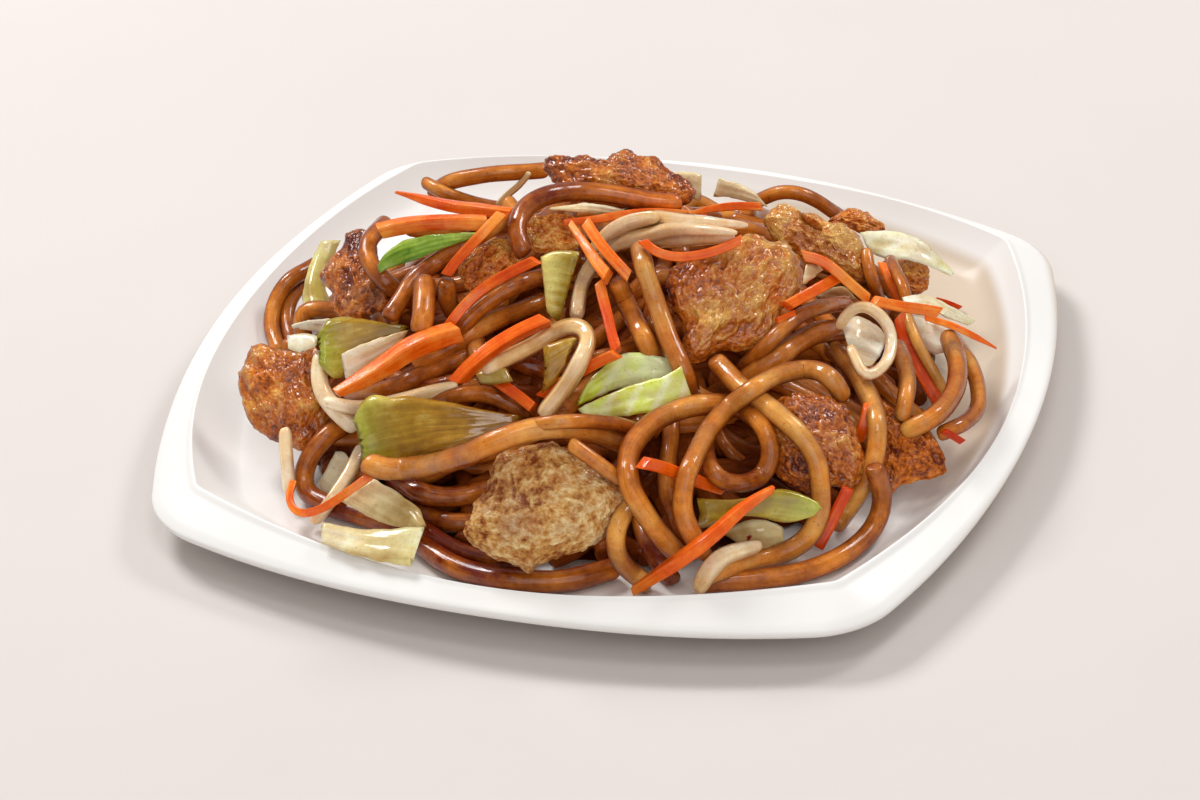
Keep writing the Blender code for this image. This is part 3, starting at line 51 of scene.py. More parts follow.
Array = np.ndarray
Laid = tuple[Array, Array]              # centre points of a noodle, and its radius at each
Height = Callable[[Array, Array], Array]


class Kind(Enum):
    """What a piece of food is, with the part's slot for its finish."""

    NOODLE = "noodle"
    CHICKEN = "chicken"
    BATTERED = "batter"
    CARROT = "carrot"
    SPROUT = "sprout"
    CABBAGE = "cabbage"
    CELERY = "celery"
    LEAF = "leaf"


class Join(Enum):
    """How a piece stands in the part: a node of its own, fused into the noodles' node, or only shown."""

    NODE = "node"
    FUSED = "fused"
    SHOWN = "shown"


NOODLE, CHICKEN, BATTERED, CARROT, SPROUT, CABBAGE, CELERY, LEAF = Kind
NODE, FUSED, SHOWN = Join

# ---- plate, as the part has it
Plan = tuple[float, float, float]       # half side, bow and corner radius of a contour
EDGE, EDGE_HEIGHT, EDGE_DROP = (0.115, 0.019, 0.0267), 0.013, 0.0015
RIDGE, RIDGE_HEIGHT, RIDGE_RISE = (0.1083, 0.0218, 0.006), 0.016, 0.00236
FLOOR, FLOOR_HEIGHT = (0.0965, 0.0195, 0.016), 0.008
FOOT, FOOT_WIDTH, FOOT_ROUNDING = (0.072, 0.016, 0.020), 0.0045, 0.003
BASE_THICKNESS, LIP_THICKNESS = 0.0045, 0.003
FINE_STEPS = (24, 16)      # points along a side and round a corner that distances are measured to
WALL_POWER = 1.6           # how hollow the inner wall is

# ---- heap, as the part has it
CORE_RADIUS, CORE_HEIGHT, CORE_POWER, CORE_LEAN = 0.088, 0.041, 2.4, 0.08
NO_FLOOR = -0.1            # height of the core's top where there is no core
BACK_STOP, BACK_WIDTH, BACK_POWER = 0.056, 0.110, 3
NODE_GAP, SINK = 0.00045, 0.0018
WANDER_WIDTH, WANDER_STEP, WANDER_POINTS, WANDER_BEND, WANDER_WOBBLE = 19.0, 40.0, 7, 0.40, 0.2
WANDER_U, WANDER_V = (300.0, 880.0), (560.0, 190.0)
UNDER_ROWS, UNDER_SPACING, UNDER_TOP, UNDER_REACH = 6, 110.0, 0.054, 0.084
FAR_TURNS = (2.0, -2.0, math.pi)
FAR_ROWS, FAR_SPACING, FAR_TOP, FAR_REACH, FAR_START = 6, 145.0, 0.046, 0.092, 0.004
ANYWHERE = -1.0            # a start so far in front that it leaves nothing out
SKYLINE, SKYLINE_RISE, SKYLINE_WIDTH, SKYLINE_HALF, SKYLINE_POWER = 0.0475, 0.004, 0.030, 0.098, 2.5
SHORTEST, SEED, FOOTING = 0.024, 11, 0.0015
TAIL_REACHES = (0.003, 0.006, 0.010, 0.015, 0.021, 0.028, 0.037, 0.048)
TAIL_TURNS, TAIL_STEPS, TAIL_BEND, TAIL_DEPTH = 20, 12, (0.004, 0.4), 0.001
FARTHEST, NEAREST, NEARNESS_STEP = -0.14, 0.12, 0.0005
SLOPE_STEP, SLOPE_LIMIT, FACING_STEP, FACING_MARGIN = 0.0005, 4.0, 0.002, 0.004
RAIL_PIXELS, OUTLINE_PIXELS, RIBBON_REST, RIBBON_BALL = 2.0, 6.0, 0.75, 0.6
CHUNK_SHARES, CHUNK_ROUNDS, CHUNK_POWERS = np.array((0.0, 0.25, 0.5, 0.7, 0.85, 0.97)), 3, (2.6, 0.62)
CURVE_STEPS = 12           # points between two places of a route

# ---- what only the scene shows
DEEP_ROWS, DEEP_SPACING, DEEP_TOP, DEEP_REACH, DEEP_LOWER = 6, 95.0, 0.047, 0.0865, 0.0022
DEEP_TURNS, DEEP_ELEVATION = (0.0, 1.57, math.pi, -1.57), 0.75
CORE_SHOWN_LOWER, CORE_SHOWN_RADIUS, CORE_RINGS, CORE_AROUND = 0.0040, 0.0825, 40, 120
# The core and the deepest noodles are dark as painted shade deep in the heap; the under noodles are a
# little darker as painted shade below the drawn ones.
CORE_LOOK = (-0.9, 0.9, 0.0)
DEEP_TONE, UNDER_TONE, FAR_TONE = 0.3, -0.2, 0.0
STREWN_SWING, STREWN_TURN, STREWN_SEED, DRAWN_SWING = 0.35, 2.4, 300, 0.25
DIP, DIP_LENGTH, DIP_REACH, DIP_STEPS = 0.0065, 0.012, 0.0030, (0.33, 0.67, 1.0)
PRESS, PART_MOST, PART_DEPTH, PART_ROUNDS, PART_STEP = 0.0003, 0.0045, 2.2, 60, 1.0
PUSH_TRIES, PUSH_LESS = 6, 0.6

# ---- the line of sight that the routes are drawn along
SIGHT_TARGET = np.array((0.0, 0.0, EDGE_HEIGHT))
SIGHT_DISTANCE, SIGHT_ELEVATION, SIGHT_YAW, SIGHT_ROLL = 1.43515, 0.562, 0.332, -0.042
OVERHEAD = math.pi / 2 - 0.02
UPWARDS = np.array((0.0, 0.0, 1.0))
FOCAL_PIXELS = 5328.3
CENTRE_PIXEL = np.array((614.5, 374.9))
VIEW_SIZE = (1200.0, 800.0)
PIXEL = SIGHT_DISTANCE / FOCAL_PIXELS
SAMPLE_PIXELS, RIBBON_PIXELS = 5.0, 14.0
STIFFNESS = {CELERY: 160, CABBAGE: 30, LEAF: 30, NOODLE: 40, SPROUT: 70, CARROT: 260}
STEEPEST = {NOODLE: 1.3, SPROUT: 1.0, CARROT: 0.75}


class Piece:
    """A drawn piece of food."""

    name: str
    kind: Kind
    join: Join

    @property
    def fused(self) -> bool:
        """Whether it may sink into the core and the other fused pieces."""
        return self.kind is NOODLE or self.join is not NODE

    @property
    def node(self) -> str:
        """The part's node that it stands for."""
        return "noodles" if self.fused else self.name


@dataclass(frozen=True)
class Strand(Piece):
    """A noodle, carrot strip or sprout: a width in pixels along a route."""

    name: str
    kind: Kind
    width: float
    route: str
    join: Join = NODE


@dataclass(frozen=True)
class Ribbon(Piece):
    """A leaf or stalk piece between two edges, `thick` metres thick and arched towards the viewer."""

    name: str
    kind: Kind
    thick: float
    arch: float
    upper: str
    lower: str
    join: Join = NODE


@dataclass(frozen=True)
class Chunk(Piece):
    """A piece of chicken: an outline, its half depth in metres, and how far it faces out of the heap."""

    name: str
    kind: Kind
    depth: float
    tilt: float
    outline: str
    join: Join = NODE


# Every piece in the order it is laid, from the bottom of the heap to the top. Routes, edges and outlines
# are pixels, written as "u,v".
PIECES = (
    Strand("far_left_outer", NOODLE, 17, "308,269 291,279 279,294 273,310 272,330 277,346"),
    Strand("far_left_inner", NOODLE, 16, "303,283 292,296 287,312 288,330 292,344"),
    Strand("back_arch", NOODLE, 15, "762,199 775,193 790,192 805,195 820,202 833,211"),
    Strand("back_loop_far", NOODLE, 17, "548,170 515,172 490,174 465,178 447,183 436,190"),
    Strand("back_loop_near", NOODLE, 14, "434,187 446,193 461,198 480,204 505,209"),
    Strand("pale_back_bit", SPROUT, 7, "530,172 520,184 507,195 497,206", FUSED),
    Ribbon("back_pale_leaf", CABBAGE, 0.0016, 0.0006, "719,178 740,184 756,193", "714,196 735,199 768,207",
           FUSED),
    Ribbon("back_white_leaf", CABBAGE, 0.0016, 0.0006, "672,172 690,172 702,175", "676,190 690,197 700,201",
           SHOWN),
    Ribbon("cabbage_stalk", CABBAGE, 0.0036, 0.0022, "341,240 331,265 325,283 331,301 326,320",
           "321,240 311,262 304,285 303,302 304,320"),
    Chunk("chicken_back", CHICKEN, 0.007, 0.45, "541,170 548,159 566,161 577,157 600,163 614,154 630,150 "
           "646,158 664,160 671,172 686,181 698,196 684,206 640,202 600,200 560,196"),
    Chunk("chicken_back_right", CHICKEN, 0.0035, 0.6, "825,222 838,212 854,208 871,215 889,229 868,234 "
           "845,232"),
    Chunk("chicken_right_upper", CHICKEN, 0.005, 0.6, "880,262 900,256 920,259 931,269 932,280 926,292 "
           "905,297 888,284"),
    Ribbon("green_cabbage_leaf", CABBAGE, 0.0016, 0.001, "860,232 890,231 912,236 932,249 954,273",
           "870,252 888,260 906,260 925,264 951,275"),
    Chunk("chicken_right_back", CHICKEN, 0.0065, 0.5, "762,220 770,209 780,202 790,212 811,213 828,223 "
           "846,227 861,238 868,254 868,268 860,280 846,274 826,266 803,262 788,250 770,236"),
    Chunk("chicken_left_back", CHICKEN, 0.006, 0.5, "346,233 358,229 371,230 378,248 382,268 392,290 "
           "390,306 362,319 336,318 333,300 324,286 320,278 331,261 343,246"),
    Strand("curl_left", NOODLE, 18, "380,228 369,240 367,256 374,270 388,284 404,296"),
    Chunk("chicken_under_hook", CHICKEN, 0.0045, 0.5, "524,224 540,214 565,212 584,224 586,242 568,254 "
           "540,256 527,246"),
    Chunk("chicken_left_middle", CHICKEN, 0.005, 0.5, "456,272 470,250 495,238 514,243 524,258 514,274 "
           "492,286 468,294"),
    Chunk("chicken_left", CHICKEN, 0.007, 0.35, "249,344 262,340 276,347 300,351 316,346 326,366 328,392 "
           "334,418 322,438 305,452 288,448 258,436 245,416 237,390 240,366"),
    Chunk("chicken_right_edge", CHICKEN, 0.005, 0.4, "872,392 886,403 902,413 916,414 930,426 940,444 "
           "946,460 945,475 922,482 902,486 890,496 880,478 876,450 872,420"),
    Strand("right_edge_outer", NOODLE, 16, "958,345 970,364 978,386 979,406 968,421 945,432"),
    Ribbon("white_cabbage_right", CABBAGE, 0.0022, 0.0012, "905,313 928,320 958,334",
           "920,346 934,355 948,350"),
    Strand("carrot_right_red", CARROT, 14, "899,316 905,342 917,365 929,386 939,404"),
    Strand("right_glazed", NOODLE, 12, "908,317 917,342 930,366 944,392"),
    Strand("right_edge_inner", NOODLE, 20, "951,344 957,362 957,383 949,402 934,417 914,427"),
    Strand("carrot_under_edge", CARROT, 8, "944,431 953,436 961,441", SHOWN),
    Strand("right_short", NOODLE, 17, "900,352 907,370 907,390 903,412"),
    Strand("right_dark", NOODLE, 13, "868,262 872,280 879,298"),
    Strand("right_pale", NOODLE, 13, "893,266 901,282 906,300"),
    Strand("carrot_right_thin", CARROT, 9, "882,264 889,281 898,300", FUSED),
    Strand("right_arc", NOODLE, 20, "834,350 850,366 864,386 874,408 878,432 875,456 867,478 855,499 "
           "842,517"),
    Strand("carrot_right_stub", CARROT, 13, "869,404 865,421 858,440", FUSED),
    Chunk("chicken_ring", CHICKEN, 0.0065, 0.4, "768,400 790,393 815,394 842,402 855,423 866,448 868,470 "
           "860,488 838,490 805,493 782,484 768,452 760,424"),
    Strand("carrot_red_lower", CARROT, 13, "848,488 838,508 828,529 818,547"),
    Strand("bottom_right_long", NOODLE, 20, "705,583 735,581 765,578 800,572 834,560 858,545 875,525 "
           "882,503 880,484 874,466"),
    Strand("bottom_left_long", NOODLE, 22, "414,530 428,549 446,562 470,572 500,579 535,582 570,580 "
           "606,571"),
    Strand("left_dark_low", NOODLE, 20, "418,505 432,517 450,523 476,522"),
    Strand("left_dark_high", NOODLE, 21, "398,480 414,491 440,497 468,496 490,488"),
    Strand("left_dark_behind", NOODLE, 18, "430,534 455,549 485,558 520,560"),
    Chunk("chicken_battered", BATTERED, 0.0085, 0.3, "500,452 522,445 550,440 580,452 606,470 622,486 "
           "624,503 610,527 600,541 572,557 540,566 528,576 514,566 490,557 467,542 462,530 472,512 "
           "472,502 484,488 488,470"),
    Strand("over_battered", NOODLE, 15, "570,443 588,456 604,468 622,480"),
    Strand("ring_behind", NOODLE, 18, "671,424 670,446 667,470 668,496 676,518 688,540"),
    Strand("ring_low_inner", NOODLE, 18, "640,520 646,540 656,560 668,574"),
    Strand("ring_low_left", NOODLE, 19, "631,503 618,526 616,549 626,568 646,583"),
    Strand("left_tail", NOODLE, 20, "352,420 330,433 312,453 303,475 306,492 322,503 348,512 378,520 "
           "402,526"),
    Ribbon("white_leaf_left", CABBAGE, 0.0016, 0.0005, "336,451 344,453 350,460", "318,484 327,496 342,484",
           FUSED),
    Strand("sprout_left_low", SPROUT, 13, "284,428 286,450 288,472 290,494"),
    Strand("sprout_left_cross", SPROUT, 13, "361,447 352,468 340,488 326,507 312,523"),
    Ribbon("cabbage_fold_back", CABBAGE, 0.002, 0.0008, "373,479 393,490 412,502 424,516 426,527",
           "341,501 358,511 375,520 392,526 410,529"),
    Ribbon("cabbage_fold_front", CABBAGE, 0.0022, 0.0008, "321,523 348,527 384,529 425,527",
           "321,543 348,553 380,561 411,567"),
    Strand("carrot_fold", CARROT, 10, "293,482 289,497 293,509 304,514 325,507 348,492 370,476"),
    Strand("sprout_left_curl", SPROUT, 17, "322,352 319,374 322,393 335,410 356,429"),
    Strand("left_under_carrot", NOODLE, 19, "464,357 440,367 415,379 388,389 356,397"),
    Strand("sprout_left_long", SPROUT, 13, "323,401 345,406 368,407 395,402 425,394 458,387"),
    Ribbon("white_bit_low", CABBAGE, 0.0016, 0.0006, "288,335 304,333 318,336", "288,349 300,352 316,346",
           SHOWN),
    Ribbon("white_bit_high", CABBAGE, 0.0016, 0.0006, "291,326 308,320 331,319", "292,328 307,330 322,332",
           SHOWN),
    Ribbon("celery_left", CELERY, 0.0026, 0.0022, "319,337 334,322 365,320 406,327",
           "321,362 342,374 372,352 404,332"),
    Ribbon("cabbage_over_celery", CABBAGE, 0.0016, 0.0006, "341,354 362,344 385,336 408,330",
           "346,381 366,371 386,358 402,342"),
    Strand("upright_end", NOODLE, 23, "424,279 424,295 423,312 420,332"),
    Strand("left_rising", NOODLE, 18, "388,319 402,298 416,278 438,261 463,245 489,229 508,219"),
    Strand("beside_upright", NOODLE, 19, "447,280 447,296 453,312 463,324"),
    Strand("middle_lower", NOODLE, 20, "550,300 522,310 498,319 475,331 452,346 425,360"),
    Strand("middle_upper", NOODLE, 17, "548,274 520,284 498,295 478,310 460,328"),
    Strand("hook", NOODLE, 20, "680,203 655,202 628,197 600,193 572,192 545,196 527,206 518,221 518,238 "
           "526,255"),
    Ribbon("pale_sliver", CABBAGE, 0.0016, 0.0006, "548,208 585,203 628,210", "550,210 588,213 620,214",
           SHOWN),
    Strand("carrot_back_long", CARROT, 9.5, "564,223 590,220 620,215 650,212 680,213 706,216"),
    Strand("carrot_back_end", CARROT, 9.5, "688,214 710,209 735,206 761,207"),
    Strand("carrot_left_tip", CARROT, 12, "396,192 412,196 432,202 456,207 482,210 510,213"),
    Strand("carrot_left_thick", CARROT, 16, "379,231 402,226 430,223 460,222 488,223"),
    Ribbon("green_leaf", LEAF, 0.0012, 0.0006, "376,263 388,247 412,239 442,234 482,232",
           "381,277 401,266 426,255 450,246 480,237"),
    Strand("carrot_left_slope", CARROT, 12, "500,215 486,230 470,246 458,259 447,274"),
    Chunk("chicken_seared", CHICKEN, 0.0075, 0.45, "667,268 684,261 704,257 722,246 738,236 754,232 "
           "772,239 787,241 798,254 804,272 800,292 785,312 777,330 766,346 738,353 714,352 704,362 "
           "689,365 680,350 681,330 672,314 665,292"),
    Ribbon("white_bit_seared", CABBAGE, 0.0016, 0.0006, "806,264 814,263 823,270", "802,283 806,284 "
           "812,279", SHOWN),
    Ribbon("cabbage_bright_back", CABBAGE, 0.0018, 0.0012, "586,384 604,366 625,353 654,355 682,364",
           "576,406 597,397 622,388 652,384 684,376"),
    Strand("carrot_red_upright", CARROT, 12.5, "600,284 606,309 611,331 617,352"),
    Strand("centre_left", NOODLE, 20, "617,280 625,300 635,320 648,346"),
    Strand("sprout_back_low", SPROUT, 15, "735,237 706,238 680,238 650,237 624,240 606,248 593,263 583,281 "
           "578,300 576,318"),
    Strand("sprout_back_high", SPROUT, 12, "747,225 720,223 690,222 662,219 637,221 612,233"),
    Strand("sprout_back_mid", SPROUT, 11, "737,233 712,230 674,229 645,236 617,245 600,257", SHOWN),
    Strand("sprout_back_top", SPROUT, 12, "658,217 640,219 618,226 601,240 590,254", SHOWN),
    Strand("carrot_cross_left", CARROT, 12, "571,224 583,242 595,260 608,277"),
    Strand("carrot_cross_right", CARROT, 13, "587,224 599,242 613,259 629,276"),
    Strand("centre_bright", NOODLE, 20, "639,246 645,270 652,292 660,315 668,337 677,357 685,377 692,396"),
    Chunk("dark_bit", CHICKEN, 0.0010, 0.3, "634,303 639,302 642,307 639,311 634,309", SHOWN),
    Strand("carrot_over_seared", CARROT, 11, "644,242 656,252 677,257 700,255 721,249 741,240"),
    Ribbon("celery_stub", CELERY, 0.003, 0.0022, "540,252 558,250 578,258", "547,317 552,320 561,316"),
    Strand("carrot_middle_long", CARROT, 12, "536,260 513,271 490,284 470,300 455,317 443,333"),
    Ribbon("cabbage_bright_front", CABBAGE, 0.0018, 0.0014, "577,409 604,396 636,384 664,376 681,366",
           "584,415 608,417 638,414 668,409 693,400"),
    Strand("carrot_behind_sprout", CARROT, 13, "616,354 598,362 578,373 560,384 543,396"),
    Ribbon("celery_behind", CELERY, 0.0022, 0.0006, "546,346 560,340 576,337", "544,392 554,384 564,366",
           SHOWN),
    Strand("short_middle", NOODLE, 17, "446,399 466,394 488,395 508,403 528,414"),
    Strand("carrot_middle_short", CARROT, 13, "494,379 508,389 521,398 533,408"),
    Ribbon("white_bit_centre", CABBAGE, 0.0016, 0.0006, "476,374 490,367 506,368", "480,383 494,385 "
           "512,381", SHOWN),
    Chunk("brown_knob", CHICKEN, 0.0018, 0.3, "552,406 558,402 566,404 568,410 561,415 553,413", SHOWN),
    Strand("sprout_middle", SPROUT, 17, "482,370 508,358 535,345 560,330 579,326 588,337 582,356 570,379 "
           "555,401 541,417"),
    Strand("carrot_middle_wide", CARROT, 15, "545,320 523,330 502,342 483,356 466,371 458,381"),
    Strand("carrot_left_big", CARROT, 19, "336,393 360,381 385,366 408,350 432,339 457,332"),
    Ribbon("celery_big", CELERY, 0.0032, 0.0038, "358,432 376,412 402,402 432,400 472,407 518,418",
           "362,449 386,454 412,455 446,449 482,440 516,424"),
    Strand("long_wave", NOODLE, 23, "366,463 386,469 412,469 440,463 470,454 500,440 526,431 556,427 "
           "588,431 622,442"),
    Strand("long_wave_twin", NOODLE, 14, "538,424 562,421 590,421 620,425 648,432"),
    Strand("ring_left", NOODLE, 21, "730,404 697,405 668,414 646,428 631,447 627,469 632,492 646,516 "
           "663,538 681,557"),
    Strand("carrot_in_ring", CARROT, 14, "643,463 661,467 680,474 700,482 722,489"),
    Strand("inner_bit", NOODLE, 13, "716,424 722,442 735,457 753,466"),
    Ribbon("white_bit_middle", CABBAGE, 0.0016, 0.0006, "834,287 845,287 857,298", "814,297 830,301 "
           "846,303", SHOWN),
    Strand("upper_right_far", NOODLE, 16, "840,304 820,307 800,315 781,330 765,346 746,364"),
    Strand("upper_right_thick", NOODLE, 22, "838,330 815,333 795,345 775,360 752,376"),
    Strand("carrot_chip", CARROT, 9, "794,314 777,322", FUSED),
    Strand("carrot_right_orange", CARROT, 13, "787,306 801,298 819,288 839,277"),
    Strand("carrot_right_yellow", CARROT, 12, "803,256 820,260 836,271 850,284 867,298"),
    Ribbon("pale_strip_right", CABBAGE, 0.0018, 0.0006, "902,298 924,294 950,306 976,320",
           "906,306 926,306 948,317 968,326", FUSED),
    Strand("carrot_sliver", CARROT, 7, "936,300 948,303 959,308", SHOWN),
    Strand("carrot_right_spike", CARROT, 8, "926,318 950,325 972,335 996,348"),
    Strand("carrot_right_flat", CARROT, 12.5, "874,301 898,306 919,309 937,312"),
    Ribbon("white_cabbage_loop", CABBAGE, 0.002, 0.0014, "842,326 856,316 874,323 888,339",
           "850,352 860,364 870,366 880,354"),
    Strand("sprout_right_loop", SPROUT, 14, "838,329 847,314 861,306 877,312 889,327 892,345 887,362 "
           "875,375 864,375 857,362 850,347"),
    Strand("inner_curl", NOODLE, 18, "736,407 756,419 768,437 770,459 760,477 741,484 720,479 708,464 "
           "705,450"),
    Strand("ring_right", NOODLE, 20, "714,359 727,373 743,388 762,402 783,419 803,438 816,460 820,485 "
           "820,510 812,532 795,547 768,557 742,564 716,573"),
    Ribbon("pale_cabbage_low", CABBAGE, 0.0018, 0.001, "724,534 742,522 764,520 783,527",
           "742,546 754,550 768,549 784,542", FUSED),
    Ribbon("celery_right", CELERY, 0.003, 0.0026, "700,498 735,499 760,494 780,489 801,494 822,506",
           "700,529 726,522 750,516 775,521 797,522 818,511"),
    Strand("ring_top", NOODLE, 19, "842,396 833,380 815,370 792,371 770,379 750,391 731,405 716,421 "
           "703,441 692,463 684,487 683,510 690,530 699,546"),
    Chunk("chili_bit", CARROT, 0.0012, 0.3, "744,536 749,532 755,534 757,540 752,545 745,543", SHOWN),
    Strand("sprout_front", SPROUT, 14, "697,591 707,572 722,556 743,549 760,546"),
    Strand("carrot_front_long", CARROT, 14, "634,590 660,573 690,553 715,533 738,512 760,496 773,489"),
)


# ---- shapes in plan
def contour(plan: Plan, side_steps: int, corner_steps: int) -> Array:
    """Points round a square with bowed sides and round corners, anticlockwise from the +X side.

    Each side is an arc through its two ends and a middle that is `bow` further out, and each corner is
    an arc of radius `corner` that meets both sides without a kink.

    Args:
        plan: Distance from the centre to the middle of a side, how far that is out from the side's ends,
            and radius of the corner arcs.
        side_steps: Points along one side.
        corner_steps: Points round one corner.

    Returns:
        The points as an array of (x, y).
    """
    half, bow, corner = plan
    end = half - bow
    side_radius = (end * end + bow * bow) / (2.0 * bow)
    side_centre = half - side_radius
    reach = side_radius - corner
    b = -2.0 * side_centre
    corner_centre = (-b + math.sqrt(b * b - 8.0 * (side_centre ** 2 - reach ** 2))) / 4.0
    lean = math.atan2(corner_centre, corner_centre - side_centre)
    along = np.linspace(-lean, lean, side_steps, endpoint=False)
    round_ = np.linspace(lean, math.pi / 2 - lean, corner_steps, endpoint=False)
    quarter = np.vstack((
        np.column_stack((side_centre + side_radius * np.cos(along), side_radius * np.sin(along))),
        corner_centre + corner * np.column_stack((np.cos(round_), np.sin(round_)))))
    turned = []
    for step in range(4):
        c, s = round(math.cos(step * math.pi / 2)), round(math.sin(step * math.pi / 2))
        turned.append(quarter @ np.array(((c, s), (-s, c))))
    return np.vstack(turned)


def corner_share(x: Array, y: Array) -> Array:
    """0 at the middle of a side and 1 at a corner, for points round the centre."""
    return (1.0 - np.cos(4.0 * np.arctan2(y, x))) / 2.0


def reach_at(plan: Plan, x: Array, y: Array) -> Array:
    """Distance from the centre to a contour in the direction of each point (x, y)."""
    outline = contour(plan, *FINE_STEPS)
    turn = np.arctan2(outline[:, 1], outline[:, 0])
    order = np.argsort(turn)
    return np.interp(np.arctan2(y, x), turn[order], np.hypot(*outline.T)[order], period=2 * math.pi)


def ridge_height(share: Array) -> Array:
    """Height of the plate's inner ridge, which rises towards the corners."""
    return RIDGE_HEIGHT + RIDGE_RISE * share


def edge_height(share: Array) -> Array:
    """Height of the plate's outer edge, which drops towards the corners."""
    return EDGE_HEIGHT - EDGE_DROP * share


def wall_rise(share: Array) -> Array:
    """Share of the inner wall's height reached at a share of its width: a hollow curve."""
    return share ** WALL_POWER


def plate_top(x: Array, y: Array) -> Array:
    """Height of the plate's upper side under each point; outside the plate, its outer edge."""
    away = np.hypot(x, y)
    share = corner_share(x, y)
    floor, ridge, edge = (reach_at(plan, x, y) for plan in (FLOOR, RIDGE, EDGE))
    rise = np.clip((away - floor) / (ridge - floor), 0.0, 1.0)
    fall = np.clip((away - ridge) / (edge - ridge), 0.0, 1.0)
    wall = FLOOR_HEIGHT + (ridge_height(share) - FLOOR_HEIGHT) * wall_rise(rise)
    return wall + (edge_height(share) - ridge_height(share)) * fall


def core_top(x: Array, y: Array) -> Array:
    """Height of the bare core under each point, a flat-topped dome, and below the plate beyond it."""
    away = np.hypot(x, y) / CORE_RADIUS
    bottom = FLOOR_HEIGHT + NODE_GAP
    lean = 1.0 + CORE_LEAN * (y * math.cos(SIGHT_YAW) - x * math.sin(SIGHT_YAW)) / CORE_RADIUS
    dome = bottom + (CORE_HEIGHT - bottom) * (1.0 - np.minimum(away, 1.0) ** CORE_POWER) * lean
    return np.where(away < 1.0, dome, NO_FLOOR)


def clearance(height: Height, x: Array, y: Array, z: Array) -> Array:
    """Distance of points from a sloping surface: their height over it, over the slope's length."""
    along_x = (height(x + SLOPE_STEP, y) - height(x - SLOPE_STEP, y)) / (2 * SLOPE_STEP)
    along_y = (height(x, y + SLOPE_STEP) - height(x, y - SLOPE_STEP)) / (2 * SLOPE_STEP)
    return (z - height(x, y)) / np.sqrt(1.0 + np.minimum(along_x ** 2 + along_y ** 2, SLOPE_LIMIT))


# ---- lines of sight
class Sight:
    """A view of the plate: pixels give lines of sight, and a nearness picks the point on each line."""

    def __init__(self, yaw: float, roll: float, elevation: float = SIGHT_ELEVATION) -> None:
        """Sets the view's three directions and the place of the eye.

        Args:
            yaw: Turn of the view round the Z axis, in radians.
            roll: Turn of the picture about the line of sight.
            elevation: Height of the eye above the horizon, in radians.
        """
        se, ce = math.sin(elevation), math.cos(elevation)
        sy, cy = math.sin(yaw), math.cos(yaw)
        level = np.array((cy, sy, 0.0))
        upright = np.array((-sy * se, cy * se, ce))
        c, s = math.cos(roll), math.sin(roll)
        self.back = np.array((sy * ce, -cy * ce, se))
        self.right = level * c + upright * s
        self.up = upright * c - level * s
        self.level = level
        self.eye = SIGHT_TARGET + self.back * SIGHT_DISTANCE

    def lines(self, pixels: Array) -> Array:
        """Directions from the eye through pixels, each one unit long along the view axis."""
        slope = (np.asarray(pixels, float) - CENTRE_PIXEL) / FOCAL_PIXELS
        return -self.back + slope[:, :1] * self.right - slope[:, 1:2] * self.up

    def point_at(self, lines: Array, nearness: Array) -> Array:
        """Points on the lines at a distance in front of the target's plane (towards the viewer)."""
        return self.eye + (SIGHT_DISTANCE - np.asarray(nearness))[:, None] * lines

    def is_behind(self, x: Array, y: Array) -> Array:
        """Whether points lie behind the heap's far limit, a flattened curve across the line of sight."""
        sideways = np.abs(x * self.level[0] + y * self.level[1]) / BACK_WIDTH
        away = y * self.level[0] - x * self.level[1]
        return away > BACK_STOP * (1.0 - np.minimum(sideways, 1.0) ** BACK_POWER) ** (1.0 / BACK_POWER)


def places(text: str) -> Array:
    """The pixels of a route that is written as pairs "u,v"."""
    return np.array([pair.split(",") for pair in text.split()], float)


def between(rows: list[Array], s: Array) -> Array:
    """Points at shares s of the way from the second to the third of four rows, on a Catmull-Rom curve."""
    before, start, end, after = rows
    return 0.5 * (2 * start + (end - before) * s + (2 * before - 5 * start + 4 * end - after) * s ** 2
                  + (3 * start - before - 3 * end + after) * s ** 3)


def smooth_route(points: Array, step: float) -> Array:
    """Points `step` apart on a Catmull-Rom curve through a route's own points, in any dimensions."""
    own = np.vstack((2 * points[0] - points[1], points, 2 * points[-1] - points[-2]))
    s = np.linspace(0.0, 1.0, CURVE_STEPS, endpoint=False)[None, :, None]
    dense = between([own[shift:len(own) - 3 + shift, None] for shift in range(4)], s)
    return evenly(np.vstack((dense.reshape(-1, own.shape[1]), own[-2:-1])), step)


def travelled(points: Array, axis: int = 0) -> Array:
    """Way along one axis of a line or a grid of points, from 0 at its start."""
    steps = np.linalg.norm(np.diff(points, axis=axis), axis=-1)
    return np.concatenate((np.zeros_like(steps.take([0], axis)), np.cumsum(steps, axis=axis)), axis=axis)


def evenly(dense: Array, step: float, count: int | None = None) -> Array:
    """Points at equal distances along a dense line: about `step` apart, or `count` of them."""
    length = travelled(dense)
    if count is None:
        count = max(3, round(length[-1] / step) + 1)
    at = np.linspace(0.0, length[-1], count)
    return np.column_stack([np.interp(at, length, column) for column in dense.T])


def unit(vectors: Array) -> Array:
    """Vectors made one long."""
    return vectors / np.maximum(np.linalg.norm(vectors, axis=-1), 1e-12)[..., None]


